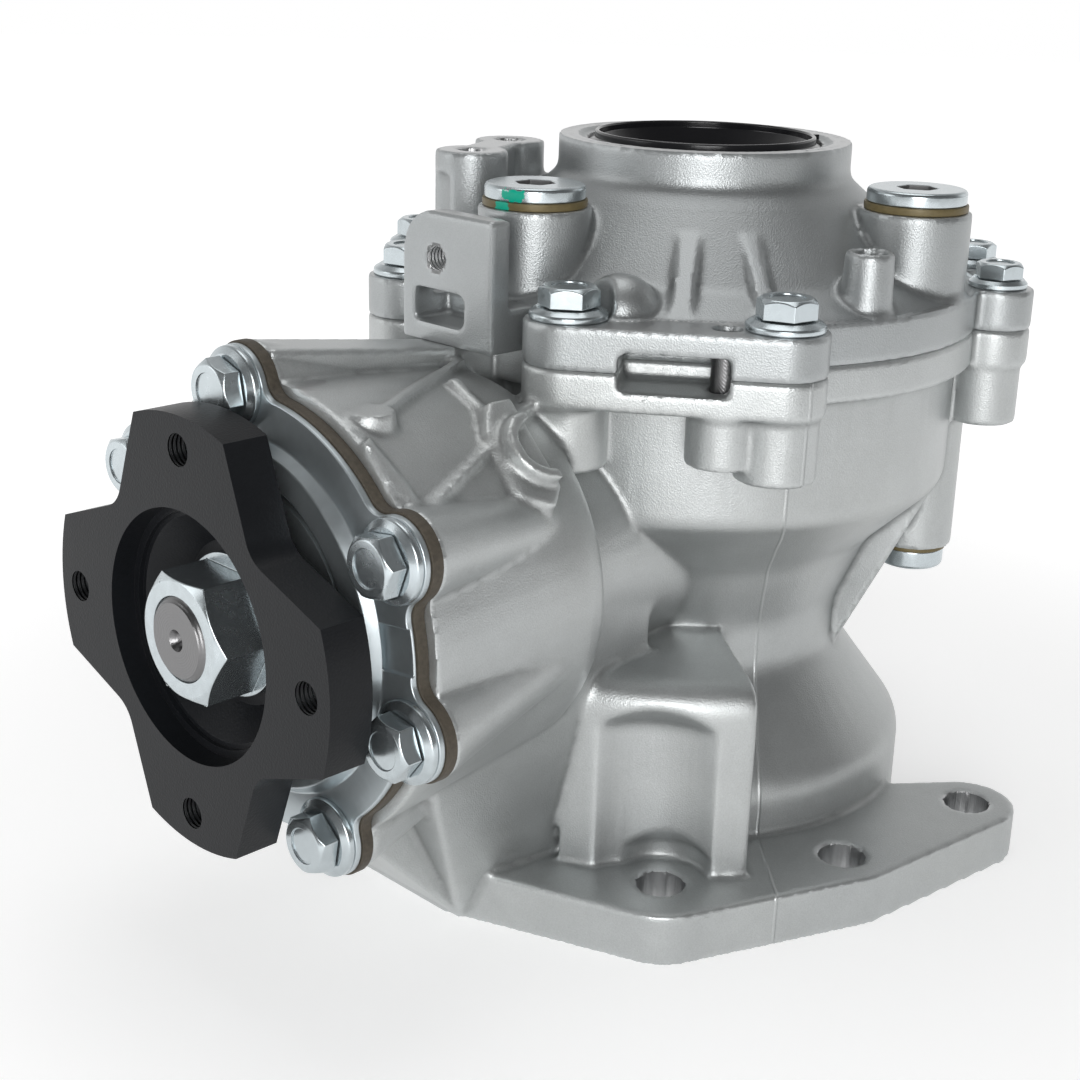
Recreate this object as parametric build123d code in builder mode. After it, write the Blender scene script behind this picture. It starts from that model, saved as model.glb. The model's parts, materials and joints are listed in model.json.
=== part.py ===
# Right-angle transfer case: a hollow input shaft stands on Z, and a bevel pinion drives a flange along -X.
# The origin is the centre of the mounting face, which is at z = 0.
import os
from math import acos, atan, cos, degrees, hypot, pi, radians, sin, sqrt, tan

from build123d import *

os.makedirs("parts", exist_ok=True)

# Working clearances
run_gap = 0.05
seal_gap = 0.08
part_gap = 0.3

# Gear pair: right-angle bevel gears on crossing axes
ring_teeth = 36
pinion_teeth = 15
tooth_module = 3.8
tooth_face = 21.0
tooth_addendum = 2.5
tooth_dedendum = 3.6
tooth_backlash = 0.35
ring_back = 16.0
ring_flange_thick = 10.0
ring_pitch_radius = tooth_module * ring_teeth / 2
pinion_pitch_radius = tooth_module * pinion_teeth / 2

# Heights on the input axis, built up from the crossing of the two axes
output_height = 104.0
ring_seat = pinion_pitch_radius + ring_back
flange_low = output_height + ring_seat
flange_top = flange_low + ring_flange_thick
joint_height = flange_top + 7.5
cover_flange = 12.0
collar_top = joint_height + 52.6
boss_top = joint_height + 36.8
base_thick = 16.0

# Main case casting
bell_radius = 75.5
bell_top = 31.0
neck_radius = 52.5
neck_low = output_height - 43
neck_high = output_height - 28
drum_wall = 9.0
cavity_radius = ring_pitch_radius + 4.6
drum_radius = cavity_radius + drum_wall
drum_bottom = output_height + 14
block_radius = 99.0
block_top = output_height - 28
block_start = 201.0
block_end = 234.0
block_scoop = 30.0
block_scoop_depth = 7.0
block_scoop_top = output_height - 42
block_rounding = 9.0
snout_root = 57.0
snout_mouth = 63.0
lobe_end_radius = 8.0
head_wall_radius = 43.0
head_bore_radius = 38.0
base_bolt_hole = 7.1
base_ear = 15.0
web_half = 20.0
web_foot = 117.5
ridge_place = 9.5
ridge_width = 17.0

# Walls under the snout: height and plan corners
web_sections = [
    (0.0, [(-118.0, -20.5), (-60.0, -34.0), (-60.0, 34.0), (-115.0, 30.0)]),
    (output_height - 40, [(-150.0, -43.0), (-60.0, -40.0), (-60.0, 40.0), (-150.0, 43.0)]),
    (output_height - 4, [(-156.0, -50.0), (-60.0, -40.0), (-60.0, 40.0), (-156.0, 50.0)]),
]
gusset_angle = 295.0
gusset_width = 8.0
pad_place = (-155.2, -25.3)
pad_radius = 6.5
pad_rise = 2.0
rib_root = 14.0

# Ribs on the snout: distance along -X and side (Y) of both ends, and the width
snout_ribs = [
    (159.4, -50.2, 100.0, -27.0, 3.5),
    (151.9, -25.6, 101.0, 0.0, 3.0),
    (117.1, -14.0, 118.5, -31.0, 3.5),
    (164.0, -34.3, 160.7, -48.7, 3.5),
]
rib_rise = 2.5

# Clip boss on the near side of the snout: distance, angle round the output axis, and sizes
clip_place = 118.5
clip_angle = 46.0
clip_pad = [(-8.0, -17.0), (-8.0, 11.0), (-2.0, 17.0), (7.5, 11.0), (7.5, -8.0), (1.0, -17.0)]
clip_pad_rise = 2.5
clip_arc_radius = 11.0
clip_arc_wall = 3.5
clip_arc_rise = 7.0

# Mounting face bolts: radius and angle from +X
base_bolts = [
    (102.6, 219.3),
    (94.4, 254.1),
    (102.6, 288.6),
    (102.6, 8.0),
    (102.6, 55.0),
    (94.4, 100.0),
    (102.6, 141.0),
]

# Joint bolts: radius and angle from +X
cover_bolt_circle = drum_radius + 10.4
cover_bolt_angles = [150.0, 198.0, 235.0, 118.0, 85.0, 50.0]
small_bolt_angles = [303.0, 326.0, 12.0]
cover_lug = 12.5
small_lug = 11.0

# Cover casting
cover_radius = drum_radius + 5
dome_foot_radius = drum_radius - 10
dome_foot_height = joint_height + 18
shoulder_radius = 50.5
shoulder_height = collar_top - 15.1
collar_radius = 45.05
collar_low = collar_top - 10.6

# Plugs
plug_circle = 69.0
filler_angle = 176.2
level_angle = 285.2
plug_head_radius = 14.6
plug_head = 4.2
plug_thread = 9.0
plug_length = 14.0
plug_washer = 2.2
plug_boss = 16.4
drain_place = (47.0, -58.0)
drain_seat = output_height - 12
drain_head_radius = 10.5
drain_boss_radius = 12.5
drain_washer = 1.5

# Output side, distances from the input axis along -X
carrier_inner = ring_pitch_radius + 9.6
head_bearing_face = carrier_inner - 2
tail_bearing_face = head_bearing_face + 67
head_bore_end = carrier_inner + 22
plate_front = tail_bearing_face + 28
output_face = plate_front + 24.75
shaft_reach = output_face + 2.85
hub_seat = output_face - 16.75
nut_end = output_face + 1.85
arm_thick = 13.0
arm_tip_radius = 59.0
arm_half_width = 16.3
flange_bolt_circle = 100.0
flange_bolt_hole = 4.3
recess_radius = 34.2
hub_radius = 21.0
hub_bore = 13.5
thread_radius = 11.5
nut_flats = 32.0
nut_collar_radius = 19.5
nut_collar = 3.0

# Pinion carrier and its plate
plate_thick = 2.0
rim_thick = 3.5
plate_bolt_circle = 61.0
plate_bolt_angles = [99.0, 29.2, -15.0, -64.0, -110.0, -160.0, 150.0]
plate_lobe = 11.8
plate_radius = 60.0
plate_bore = 38.0
carrier_radius = 44.0
carrier_throat = 28.0
oring_place = plate_front - 21
oring_width = 4.0
oring_depth = 2.4
plate_ring_outer = 49.0
plate_ring_height = 3.2
channel_angle = 7.0
channel_width = 12.0
output_seal_low = tail_bearing_face + 9
output_seal_radius = 34.0
deflector_place = plate_front
deflector_radius = 36.0
valley_radius = 41.0

# Tapered bearings: bore, cup outside, cone width, number of rollers
head_bearing = (18.5, 33.0, 18.0, 15)
tail_bearing = (15.0, 31.0, 15.0, 14)
shaft_bearing = (27.0, 42.0, 17.0, 18)
roller_lean = 12.0
roller_taper = 2.0
lower_bearing_face = output_height - 28
upper_bearing_face = joint_height + 4

# Input shaft
shaft_bore = 17.0
shaft_bottom = 8.0
shaft_top = joint_height + 24
shaft_body = 30.0
ring_bolt_circle = 2 * ring_pitch_radius - 36.8
ring_bolt_count = 10
ring_flange_radius = ring_pitch_radius - 8.4
ring_register = 36.0
ring_thread = 14.0
lower_cup_seat = output_height - 47
bell_bore = 34.0
spacer_wall = 6.0
centre_drill = 3.0

# Splines and tooth drawing
input_splines = 24
output_splines = 18
spline_depth = 1.2
spline_width = 2.2
input_spline_length = 34.0
flank_steps = 4
root_bury = 1.0
tooth_land = 0.5

# Collar seal and plug sockets
bead_outer = 34.0
bead_inner = 32.6
bead_top = collar_top + 1.2
bead_tab_angle = 330.0
funnel_radius = 25.7
plug_socket = 6.0
drain_head = 6.0
drain_socket = 4.6

# Fasteners: thread radius, flats, washer radius, washer height, head height
bolt_m10 = (5.0, 15.0, 11.0, 1.8, 9.0)
bolt_m8 = (4.0, 13.0, 8.8, 1.5, 7.5)
bolt_ring = (5.0, 14.0, 8.0, 1.0, 6.5)

# Planes and axes: output_profile holds (distance along -X, radius) pairs of the output side
input_axis = Axis.Z
output_axis = Axis((0, 0, output_height), (-1, 0, 0))
output_profile = Plane(origin=(0, 0, output_height), x_dir=(-1, 0, 0), z_dir=(0, 1, 0))


def output_plane(distance):
    """Plane across the output axis, facing the flange, at this distance from the input axis."""
    return Plane(origin=(-distance, 0, output_height), x_dir=(0, -1, 0), z_dir=(-1, 0, 0))


def save(builder, name):
    builder.part.label = name
    export_step(builder.part, f"parts/{name}.step")


# Gear geometry: both pitch cones share the apex where the axes cross
ratio = ring_teeth / pinion_teeth
cone_distance = sqrt(ring_pitch_radius**2 + pinion_pitch_radius**2)
ring_angle = degrees(atan(ratio))
pinion_angle = 90 - ring_angle


def polar(radius, angle):
    return (radius * cos(radians(angle)), radius * sin(radians(angle)))


# Dowel pins of the joint
pin_places = [(-63.5, -64.5), (61.5, 61.5)]
pin_radius = 4.0
pin_depth = 8.0

# Bell relief, seats and cavities of the main case
pilot_radius = 46.0
pilot_depth = 8.0
lower_seal_radius = 38.0
lower_seal_depth = 9.0
pinion_opening = 34.0
window_low = joint_height - 5
window_high = joint_height + 5.5
window_angle = 217.0
window_width = 30.0
window_inner = drum_radius
lug_drop = 30.0
pin_column = 10.0
pin_column_drop = 26.0
wrench_room = 15.0
wrench_height = 6.0
wrench_cone = 10.0
joint_thread = 20.0
plate_thread = 18.0
drain_thread = 7.0
drain_length = 14.0
drain_drill = 5.0


def joint_outline(lift):
    """Closed outline shared by the case and the cover at the joint, at this height."""
    with BuildSketch(Plane.XY.offset(lift)) as outline:
        Circle(cover_radius)
        for angle in cover_bolt_angles:
            with Locations(polar(cover_bolt_circle, angle)):
                Circle(cover_lug)
        for angle in small_bolt_angles:
            with Locations(polar(cover_bolt_circle, angle)):
                Circle(small_lug)
    return outline.sketch


def front_land(lift):
    """Straight land between the two front lugs."""
    with BuildSketch(Plane.XY.offset(lift)) as land:
        for angle in cover_bolt_angles[1:3]:
            with Locations(polar(cover_bolt_circle, angle)):
                Circle(cover_lug)
        make_hull()
    return land.sketch


# Block on the bell, under the snout's near side, with a shallow scoop over the mounting bolt
scoop_centre = polar(block_radius + block_scoop - block_scoop_depth, (block_start + block_end) / 2)
with BuildPart() as bell_block:
    with BuildSketch(Plane.XY):
        with BuildLine():
            face_arc = CenterArc((0, 0), block_radius, block_start, block_end - block_start)
            Line(face_arc @ 1, (0, 0))
            Line((0, 0), face_arc @ 0)
        make_face()
    extrude(amount=block_top)
    fillet(bell_block.edges().filter_by(GeomType.CIRCLE).sort_by(Axis.Z)[-1:], block_rounding)
    with BuildSketch(Plane.XY.offset(base_thick)):
        with Locations(scoop_centre):
            Circle(block_scoop)
    extrude(amount=block_scoop_top - base_thick, mode=Mode.SUBTRACT)
    with BuildSketch(Plane.XY.offset(block_scoop_top)):
        with Locations(scoop_centre):
            Circle(block_scoop)
    extrude(amount=block_scoop_depth, taper=45, mode=Mode.SUBTRACT)

def snout_reach(distance):
    """Outer radius of the snout at this distance along -X."""
    share = (distance - head_bore_end) / (rim_back - head_bore_end)
    return snout_root + (snout_mouth - snout_root) * share


def snout_height(distance, side):
    """Height of the snout's top surface at this distance along -X and this Y."""
    return output_height + sqrt(snout_reach(distance) ** 2 - side**2)


# Snout around the pinion, from the neck to the carrier rim
rim_back = plate_front - plate_thick - rim_thick
lobe_end = head_bore_end + 8
with BuildPart() as snout:
    with BuildSketch(output_profile):
        with BuildLine():
            side = FilletPolyline(
                (rim_back, snout_mouth),
                (head_bore_end + 4, snout_root),
                (head_bore_end - 3, snout_root - 2),
                (head_bore_end - 8, head_wall_radius),
                (neck_radius - 20, head_wall_radius - 2),
                radius=[8, 6, 8],
            )
            Polyline(side @ 1, (neck_radius - 20, 0), (rim_back, 0), side @ 0)
        make_face()
    revolve(axis=output_axis)
    for angle in plate_bolt_angles:
        with BuildSketch(output_plane(rim_back)):
            with Locations(polar(plate_bolt_circle, angle)):
                Circle(plate_lobe)
        with BuildSketch(output_plane(lobe_end)):
            with Locations(polar(snout_root - lobe_end_radius, angle)):
                Circle(lobe_end_radius)
        loft(ruled=True)
    # Ridge along the top, from the highest lobe to the joint
    with BuildSketch(Plane.XZ.offset(-ridge_place)):
        with BuildLine():
            Polyline(
                (-rim_back, output_height + plate_radius + plate_lobe - 1),
                (-rim_back, output_height + 40),
                (-drum_radius, output_height + 40),
                (-drum_radius, joint_height),
                (-cover_bolt_circle - 10, joint_height),
                close=True,
            )
        make_face()
    extrude(amount=ridge_width / 2, both=True)

# Mounting flange
with BuildPart() as base_flange:
    with BuildSketch() as front_outline:
        for place, size in zip(base_bolts[:3], (19.0, base_ear, base_ear)):
            with Locations(polar(*place)):
                Circle(size)
        with Locations((-112, -14), (-112, 28)):
            Circle(7)
        make_hull()
    extrude(amount=base_thick)
    with BuildSketch() as back_outline:
        for place in base_bolts[3:]:
            with Locations(polar(*place)):
                Circle(base_ear)
        with Locations((-112, 28)):
            Circle(7)
        make_hull()
    extrude(amount=base_thick)
    with BuildSketch():
        Circle(bell_radius)
    extrude(amount=base_thick)

with BuildPart() as main_case:
    # Bell, neck and drum in one turned form
    with BuildSketch(Plane.XZ):
        with BuildLine():
            wall = FilletPolyline(
                (bell_radius, 0),
                (bell_radius, bell_top),
                (neck_radius, neck_low),
                (neck_radius, neck_high),
                (neck_radius + 9, output_height - 6),
                (drum_radius, drum_bottom),
                (drum_radius, joint_height),
                radius=[14, 14, 25, 18, 8],
            )
            Polyline(wall @ 1, (0, joint_height), (0, 0), wall @ 0)
        make_face()
    revolve(axis=input_axis)
    add(bell_block.part)
    add(base_flange.part)
    add(snout.part)
    # Web that carries the snout down to the mounting face
    with BuildSketch(output_profile):
        with BuildLine():
            Polyline(
                (rim_back, -54),
                (web_foot, -output_height),
                (neck_radius - 2.5, -output_height),
                (neck_radius - 2.5, 0),
                (rim_back, 0),
                close=True,
            )
        make_face()
    extrude(amount=web_half, both=True)
    # Side walls that spread from the mounting face to the snout
    for height, corners in web_sections:
        with BuildSketch(Plane.XY.offset(height)):
            with BuildLine():
                Polyline(*corners, close=True)
            make_face()
    loft(ruled=True)
    # Gusset from the neck to the drum, beside the drain boss
    gusset_side = (sin(radians(gusset_angle)), -cos(radians(gusset_angle)), 0)
    with BuildSketch(Plane(origin=(0, 0, 0), x_dir=(*polar(1, gusset_angle), 0), z_dir=gusset_side)):
        with BuildLine():
            Polyline(
                (neck_radius - 6, neck_low - 1),
                (neck_radius + 1, neck_low - 1),
                (drum_radius - 2, drum_bottom - 2),
                (drum_radius - 2, drum_bottom + 6),
                (neck_radius - 6, drum_bottom + 6),
                close=True,
            )
        make_face()
    extrude(amount=gusset_width / 2, both=True)
    # Pad and ribs on the snout
    with BuildSketch(Plane.XY.offset(snout_height(-pad_place[0], pad_place[1]) + pad_rise)):
        with Locations(pad_place):
            Circle(pad_radius)
    extrude(amount=-rib_root, taper=-3)
    for start, start_side, end, end_side, width in snout_ribs:
        foot = Vector(-start, start_side, snout_height(start, start_side) + rib_rise)
        run = Vector(-end, end_side, snout_height(end, end_side) + rib_rise) - foot
        level = Vector(run.X, run.Y, 0)
        across = level.cross(Vector(0, 0, 1)).normalized()
        with BuildSketch(Plane(origin=foot, x_dir=level.normalized(), z_dir=across)):
            with BuildLine():
                Polyline(
                    (0, 0),
                    (level.length, run.Z),
                    (level.length, -rib_root),
                    (0, -rib_root),
                    close=True,
                )
            make_face()
        extrude(amount=width / 2, both=True)
    # Clip boss: a flat pad with a standing arc
    outward = (0, -cos(radians(clip_angle)), sin(radians(clip_angle)))
    clip_radius = snout_reach(clip_place)
    clip_foot = Vector(-clip_place, outward[1] * clip_radius, output_height + outward[2] * clip_radius)
    clip_plane = Plane(origin=clip_foot, x_dir=(-1, 0, 0), z_dir=outward)
    with BuildSketch(clip_plane.offset(clip_pad_rise)):
        with BuildLine():
            Polyline(*clip_pad, close=True)
        make_face()
    extrude(amount=-rib_root)
    with BuildSketch(clip_plane.offset(clip_arc_rise)):
        with Locations((-clip_arc_radius / 2, 0)):
            Circle(clip_arc_radius)
            Circle(clip_arc_radius - clip_arc_wall, mode=Mode.SUBTRACT)
        with Locations((-clip_arc_radius, 0)):
            Rectangle(clip_arc_radius, 3 * clip_arc_radius, mode=Mode.SUBTRACT)
    extrude(amount=-rib_root)
    # Joint flange with its lugs
    add(joint_outline(joint_height))
    add(front_land(joint_height))
    extrude(amount=-11)
    for angle in cover_bolt_angles:
        with BuildSketch(Plane.XY.offset(joint_height - lug_drop)):
            with Locations(polar(cover_bolt_circle - 1, angle)):
                Circle(cover_lug - 1)
        extrude(amount=lug_drop)
    for angle in small_bolt_angles:
        with BuildSketch(Plane.XY.offset(joint_height - lug_drop)):
            with Locations(polar(cover_bolt_circle - 1, angle)):
                Circle(small_lug - 0.5)
        extrude(amount=lug_drop)
    with BuildSketch(Plane.XY.offset(joint_height - pin_column_drop)):
        with Locations(pin_places[0]):
            Circle(pin_column)
    extrude(amount=pin_column_drop)
    # Drain boss under the drum, with its seat facing down
    with BuildSketch(Plane.XY.offset(drain_seat)):
        with Locations(drain_place):
            Circle(drain_boss_radius)
    extrude(amount=joint_height - drain_seat)
    # Gear cavity, bearing seat and pilot, all on the input axis
    with BuildSketch(Plane.XZ):
        with BuildLine():
            Polyline(
                (0, 0),
                (pilot_radius, 0),
                (pilot_radius, pilot_depth),
                (lower_seal_radius, pilot_depth),
                (lower_seal_radius, pilot_depth + lower_seal_depth),
                (bell_bore, pilot_depth + lower_seal_depth),
                (bell_bore, lower_cup_seat),
                (shaft_bearing[1], lower_cup_seat),
                (shaft_bearing[1], output_height - 24),
                (shaft_bearing[1] + 6, output_height + 2),
                (cavity_radius, output_height + 18),
                (cavity_radius, joint_height),
                (0, joint_height),
                close=True,
            )
        make_face()
    revolve(axis=input_axis, mode=Mode.SUBTRACT)
    # Pinion opening and carrier bore
    with BuildSketch(output_plane(carrier_inner)):
        Circle(pinion_opening)
    extrude(amount=-carrier_inner, mode=Mode.SUBTRACT)
    with BuildSketch(output_plane(rim_back)):
        Circle(carrier_radius)
    extrude(amount=head_bore_end - rim_back, mode=Mode.SUBTRACT)
    with BuildSketch(output_plane(head_bore_end)):
        Circle(head_bore_radius)
    extrude(amount=carrier_inner - head_bore_end, mode=Mode.SUBTRACT)
    # Wrench room over the mounting holes, then the holes
    for place in base_bolts:
        with BuildSketch(Plane.XY.offset(base_thick)):
            with Locations(polar(*place)):
                Circle(wrench_room)
        extrude(amount=wrench_height, mode=Mode.SUBTRACT)
        with BuildSketch(Plane.XY.offset(base_thick + wrench_height)):
            with Locations(polar(*place)):
                Circle(wrench_room)
        extrude(amount=wrench_cone, taper=40, mode=Mode.SUBTRACT)
        with BuildSketch(Plane.XY):
            with Locations(polar(*place)):
                Circle(base_bolt_hole)
        extrude(amount=base_thick, mode=Mode.SUBTRACT)
    with BuildSketch(Plane.XY.offset(drain_seat)):
        with Locations(drain_place):
            Circle(drain_thread)
    extrude(amount=drain_length + 2, mode=Mode.SUBTRACT)
    with BuildSketch(Plane.XY.offset(drain_seat)):
        with Locations(drain_place):
            Circle(drain_drill)
    extrude(amount=joint_height - drain_seat - 30, mode=Mode.SUBTRACT)
    # Threaded holes for the joint bolts
    for angle in cover_bolt_angles:
        with BuildSketch(Plane.XY.offset(joint_height)):
            with Locations(polar(cover_bolt_circle, angle)):
                Circle(bolt_m10[0])
        extrude(amount=-joint_thread, mode=Mode.SUBTRACT)
    for angle in small_bolt_angles:
        with BuildSketch(Plane.XY.offset(joint_height)):
            with Locations(polar(cover_bolt_circle, angle)):
                Circle(bolt_m8[0])
        extrude(amount=-joint_thread, mode=Mode.SUBTRACT)
    with BuildSketch(Plane.XY.offset(joint_height)):
        with Locations(*pin_places):
            Circle(pin_radius)
    extrude(amount=-pin_depth, mode=Mode.SUBTRACT)
    # Threaded holes for the carrier bolts
    for angle in plate_bolt_angles:
        with BuildSketch(output_plane(rim_back)):
            with Locations(polar(plate_bolt_circle, angle)):
                Circle(bolt_m10[0])
        extrude(amount=-plate_thread, mode=Mode.SUBTRACT)
    # Lower half of the slot between the two front lugs
    with BuildSketch(Plane.XY.offset(window_low)):
        with Locations(Location((0, 0, 0), (0, 0, window_angle))):
            with Locations((window_inner + window_width / 2, 0)):
                Rectangle(window_width, window_width)
    extrude(amount=joint_height - window_low, mode=Mode.SUBTRACT)

save(main_case, "main_case")

# Cover casting
seal_seat = 36.0
collar_groove = 42.5
seal_low = collar_top - 13.6
upper_race_top = joint_height + 22
cover_inside = cavity_radius - 6
cover_roof = joint_height + 7
bracket_face = drum_radius + 20
bracket_inner = drum_radius - 12
bracket_top = joint_height + 37
bracket_span = (-12.5, 24.0)
bracket_thick = 7.0
bracket_corner = 12.0
bracket_hole = (10.0, joint_height + 24, 3.4)
bracket_hole_depth = 14.0
bracket_slot = (9.0, joint_height + 10.3, 20.0, 9.5)
twin_bosses = [(-60.0, 41.0), (-31.5, 54.0)]
twin_top = joint_height + 48.2
twin_radius = 11.0
twin_waist = 12.0
twin_hole = 4.25
twin_depth = 22.0
stub_place = (-17.0, -76.0)
stub_top = joint_height + 29.5
stub_foot_radius = 8.2
stub_tip_radius = 6.8
stub_hole = 4.8
stub_depth = 14.0
cover_ribs = [(217.0, 6.0), (234.0, 5.0), (30.0, 6.0), (60.0, 6.0), (95.0, 6.0)]
bulge_place = (-72.0, -33.0)
bulge_radius = 11.0
bulge_top = joint_height + 23
filler_place = polar(plug_circle, filler_angle)
level_place = polar(plug_circle, level_angle)

with BuildPart() as case_cover:
    add(joint_outline(joint_height))
    add(front_land(joint_height))
    extrude(amount=cover_flange)
    # Dome and collar
    with BuildSketch(Plane.XZ):
        with BuildLine():
            crown = FilletPolyline(
                (cover_radius, joint_height),
                (cover_radius, joint_height + cover_flange - 1),
                (dome_foot_radius, dome_foot_height),
                (shoulder_radius, shoulder_height),
                (collar_radius, collar_low),
                (collar_radius, collar_top),
                radius=[3, 12, 6, 5],
            )
            Polyline(crown @ 1, (0, collar_top), (0, joint_height), crown @ 0)
        make_face()
    revolve(axis=input_axis)
    # Plug bosses, twin boss and stub
    for place in (filler_place, level_place):
        with BuildSketch(Plane.XY.offset(joint_height + 1)):
            with Locations(place):
                Circle(plug_boss)
        extrude(amount=boss_top - joint_height - 1)
    with BuildSketch(Plane.XY.offset(joint_height + 1)):
        with Locations(*twin_bosses):
            Circle(twin_radius)
        with BuildLine():
            Line(*twin_bosses)
        trace(line_width=twin_waist)
    extrude(amount=twin_top - joint_height - 1)
    with Locations((*stub_place, (joint_height + stub_top) / 2)):
        Cone(stub_foot_radius, stub_tip_radius, stub_top - joint_height)
    with Locations((*bulge_place, bulge_top - bulge_radius)):
        Sphere(bulge_radius)
    with Locations((*bulge_place, joint_height + (bulge_top - bulge_radius - joint_height) / 2)):
        Cylinder(bulge_radius, bulge_top - bulge_radius - joint_height)
    # Ribs from the dome to the flange
    for angle, width in cover_ribs:
        rib_side = (sin(radians(angle)), -cos(radians(angle)), 0)
        rib_plane = Plane(origin=(0, 0, 0), x_dir=(*polar(1, angle), 0), z_dir=rib_side)
        with BuildSketch(rib_plane):
            with BuildLine():
                Polyline(
                    (shoulder_radius - 4, shoulder_height - 4),
                    (shoulder_radius + 7, shoulder_height - 6),
                    (cover_radius - 1, joint_height + cover_flange - 1),
                    (shoulder_radius - 4, joint_height + cover_flange - 1),
                    close=True,
                )
            make_face()
        extrude(amount=width / 2, both=True)
    # Bracket for a clamp, standing on the flange
    with BuildSketch(Plane(origin=(-bracket_face, 0, 0), x_dir=(0, 1, 0), z_dir=(1, 0, 0))):
        with Locations(((bracket_span[0] + bracket_span[1]) / 2, (joint_height + bracket_top) / 2)):
            bracket_plate = Rectangle(bracket_span[1] - bracket_span[0], bracket_top - joint_height)
        fillet(bracket_plate.vertices().sort_by(Axis.Y)[-2:].sort_by(Axis.X)[-1:], bracket_corner)
    extrude(amount=bracket_thick)
    with BuildSketch(Plane.XY.offset(joint_height)):
        with Locations((-(bracket_face + bracket_inner) / 2, (bracket_span[0] + bracket_span[1]) / 2)):
            Rectangle(bracket_face - bracket_inner, bracket_span[1] - bracket_span[0])
    extrude(amount=cover_flange)
    with BuildSketch(Plane(origin=(-bracket_face, 0, 0), x_dir=(0, 1, 0), z_dir=(1, 0, 0))):
        with Locations(bracket_slot[:2]):
            RectangleRounded(bracket_slot[2], bracket_slot[3], 2)
    extrude(amount=bracket_thick + 6, mode=Mode.SUBTRACT)
    with BuildSketch(Plane(origin=(-bracket_face, 0, 0), x_dir=(0, 1, 0), z_dir=(1, 0, 0))):
        with Locations(bracket_hole[:2]):
            Circle(bracket_hole[2])
    extrude(amount=bracket_hole_depth, mode=Mode.SUBTRACT)
    # Inside: gear room, bearing seat, throat and seal seat
    with BuildSketch(Plane.XZ):
        with BuildLine():
            Polyline(
                (0, joint_height),
                (cover_inside, joint_height),
                (cover_inside, cover_roof - 2),
                (shaft_bearing[1], cover_roof),
                (shaft_bearing[1], upper_race_top),
                (seal_seat, upper_race_top),
                (seal_seat - 2, seal_low),
                (seal_seat, seal_low),
                (seal_seat, collar_top - 1),
                (seal_seat + 3, collar_top - 1),
                (seal_seat + 3, collar_top),
                (0, collar_top),
                close=True,
            )
        make_face()
    revolve(axis=input_axis, mode=Mode.SUBTRACT)
    # Step and groove on the collar's end
    with BuildSketch(Plane.XY.offset(collar_top)):
        Circle(collar_groove)
        Circle(collar_groove - 1, mode=Mode.SUBTRACT)
    extrude(amount=-0.8, mode=Mode.SUBTRACT)
    # Holes
    for place in (filler_place, level_place):
        with BuildSketch(Plane.XY.offset(boss_top)):
            with Locations(place):
                Circle(plug_thread)
        extrude(amount=cover_roof - 3 - boss_top, mode=Mode.SUBTRACT)
    with BuildSketch(Plane.XY.offset(twin_top)):
        with Locations(*twin_bosses):
            Circle(twin_hole)
    extrude(amount=-twin_depth, mode=Mode.SUBTRACT)
    with BuildSketch(Plane.XY.offset(stub_top)):
        with Locations(stub_place):
            Circle(stub_hole)
    extrude(amount=-stub_depth, mode=Mode.SUBTRACT)
    with BuildSketch(Plane.XY.offset(joint_height)):
        with Locations(*pin_places):
            Circle(pin_radius)
    extrude(amount=cover_flange + 10, mode=Mode.SUBTRACT)
    # Flat seats and clearance holes for the joint bolts
    for angles, lug, bolt in ((cover_bolt_angles, cover_lug, bolt_m10), (small_bolt_angles, small_lug, bolt_m8)):
        for angle in angles:
            with BuildSketch(Plane.XY.offset(joint_height + cover_flange)):
                with Locations(polar(cover_bolt_circle, angle)):
                    Circle(lug - 0.5)
            extrude(amount=30, mode=Mode.SUBTRACT)
            with BuildSketch(Plane.XY.offset(joint_height)):
                with Locations(polar(cover_bolt_circle, angle)):
                    Circle(bolt[0] + 0.3)
            extrude(amount=cover_flange, mode=Mode.SUBTRACT)
    with BuildSketch(Plane.XY.offset(joint_height)):
        with Locations(Location((0, 0, 0), (0, 0, window_angle))):
            with Locations((window_inner + window_width / 2, 0)):
                Rectangle(window_width, window_width)
    extrude(amount=window_high - joint_height, mode=Mode.SUBTRACT)
save(case_cover, "case_cover")


def lobed_outline(plane, edge):
    """Scalloped outline of the carrier rim and its plate."""
    with BuildSketch(plane) as outline:
        Circle(plate_radius - edge)
        for angle in plate_bolt_angles:
            with Locations(polar(plate_bolt_circle, angle)):
                Circle(plate_lobe - edge)
        fillet(outline.vertices(), 6)
    return outline.sketch


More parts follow.
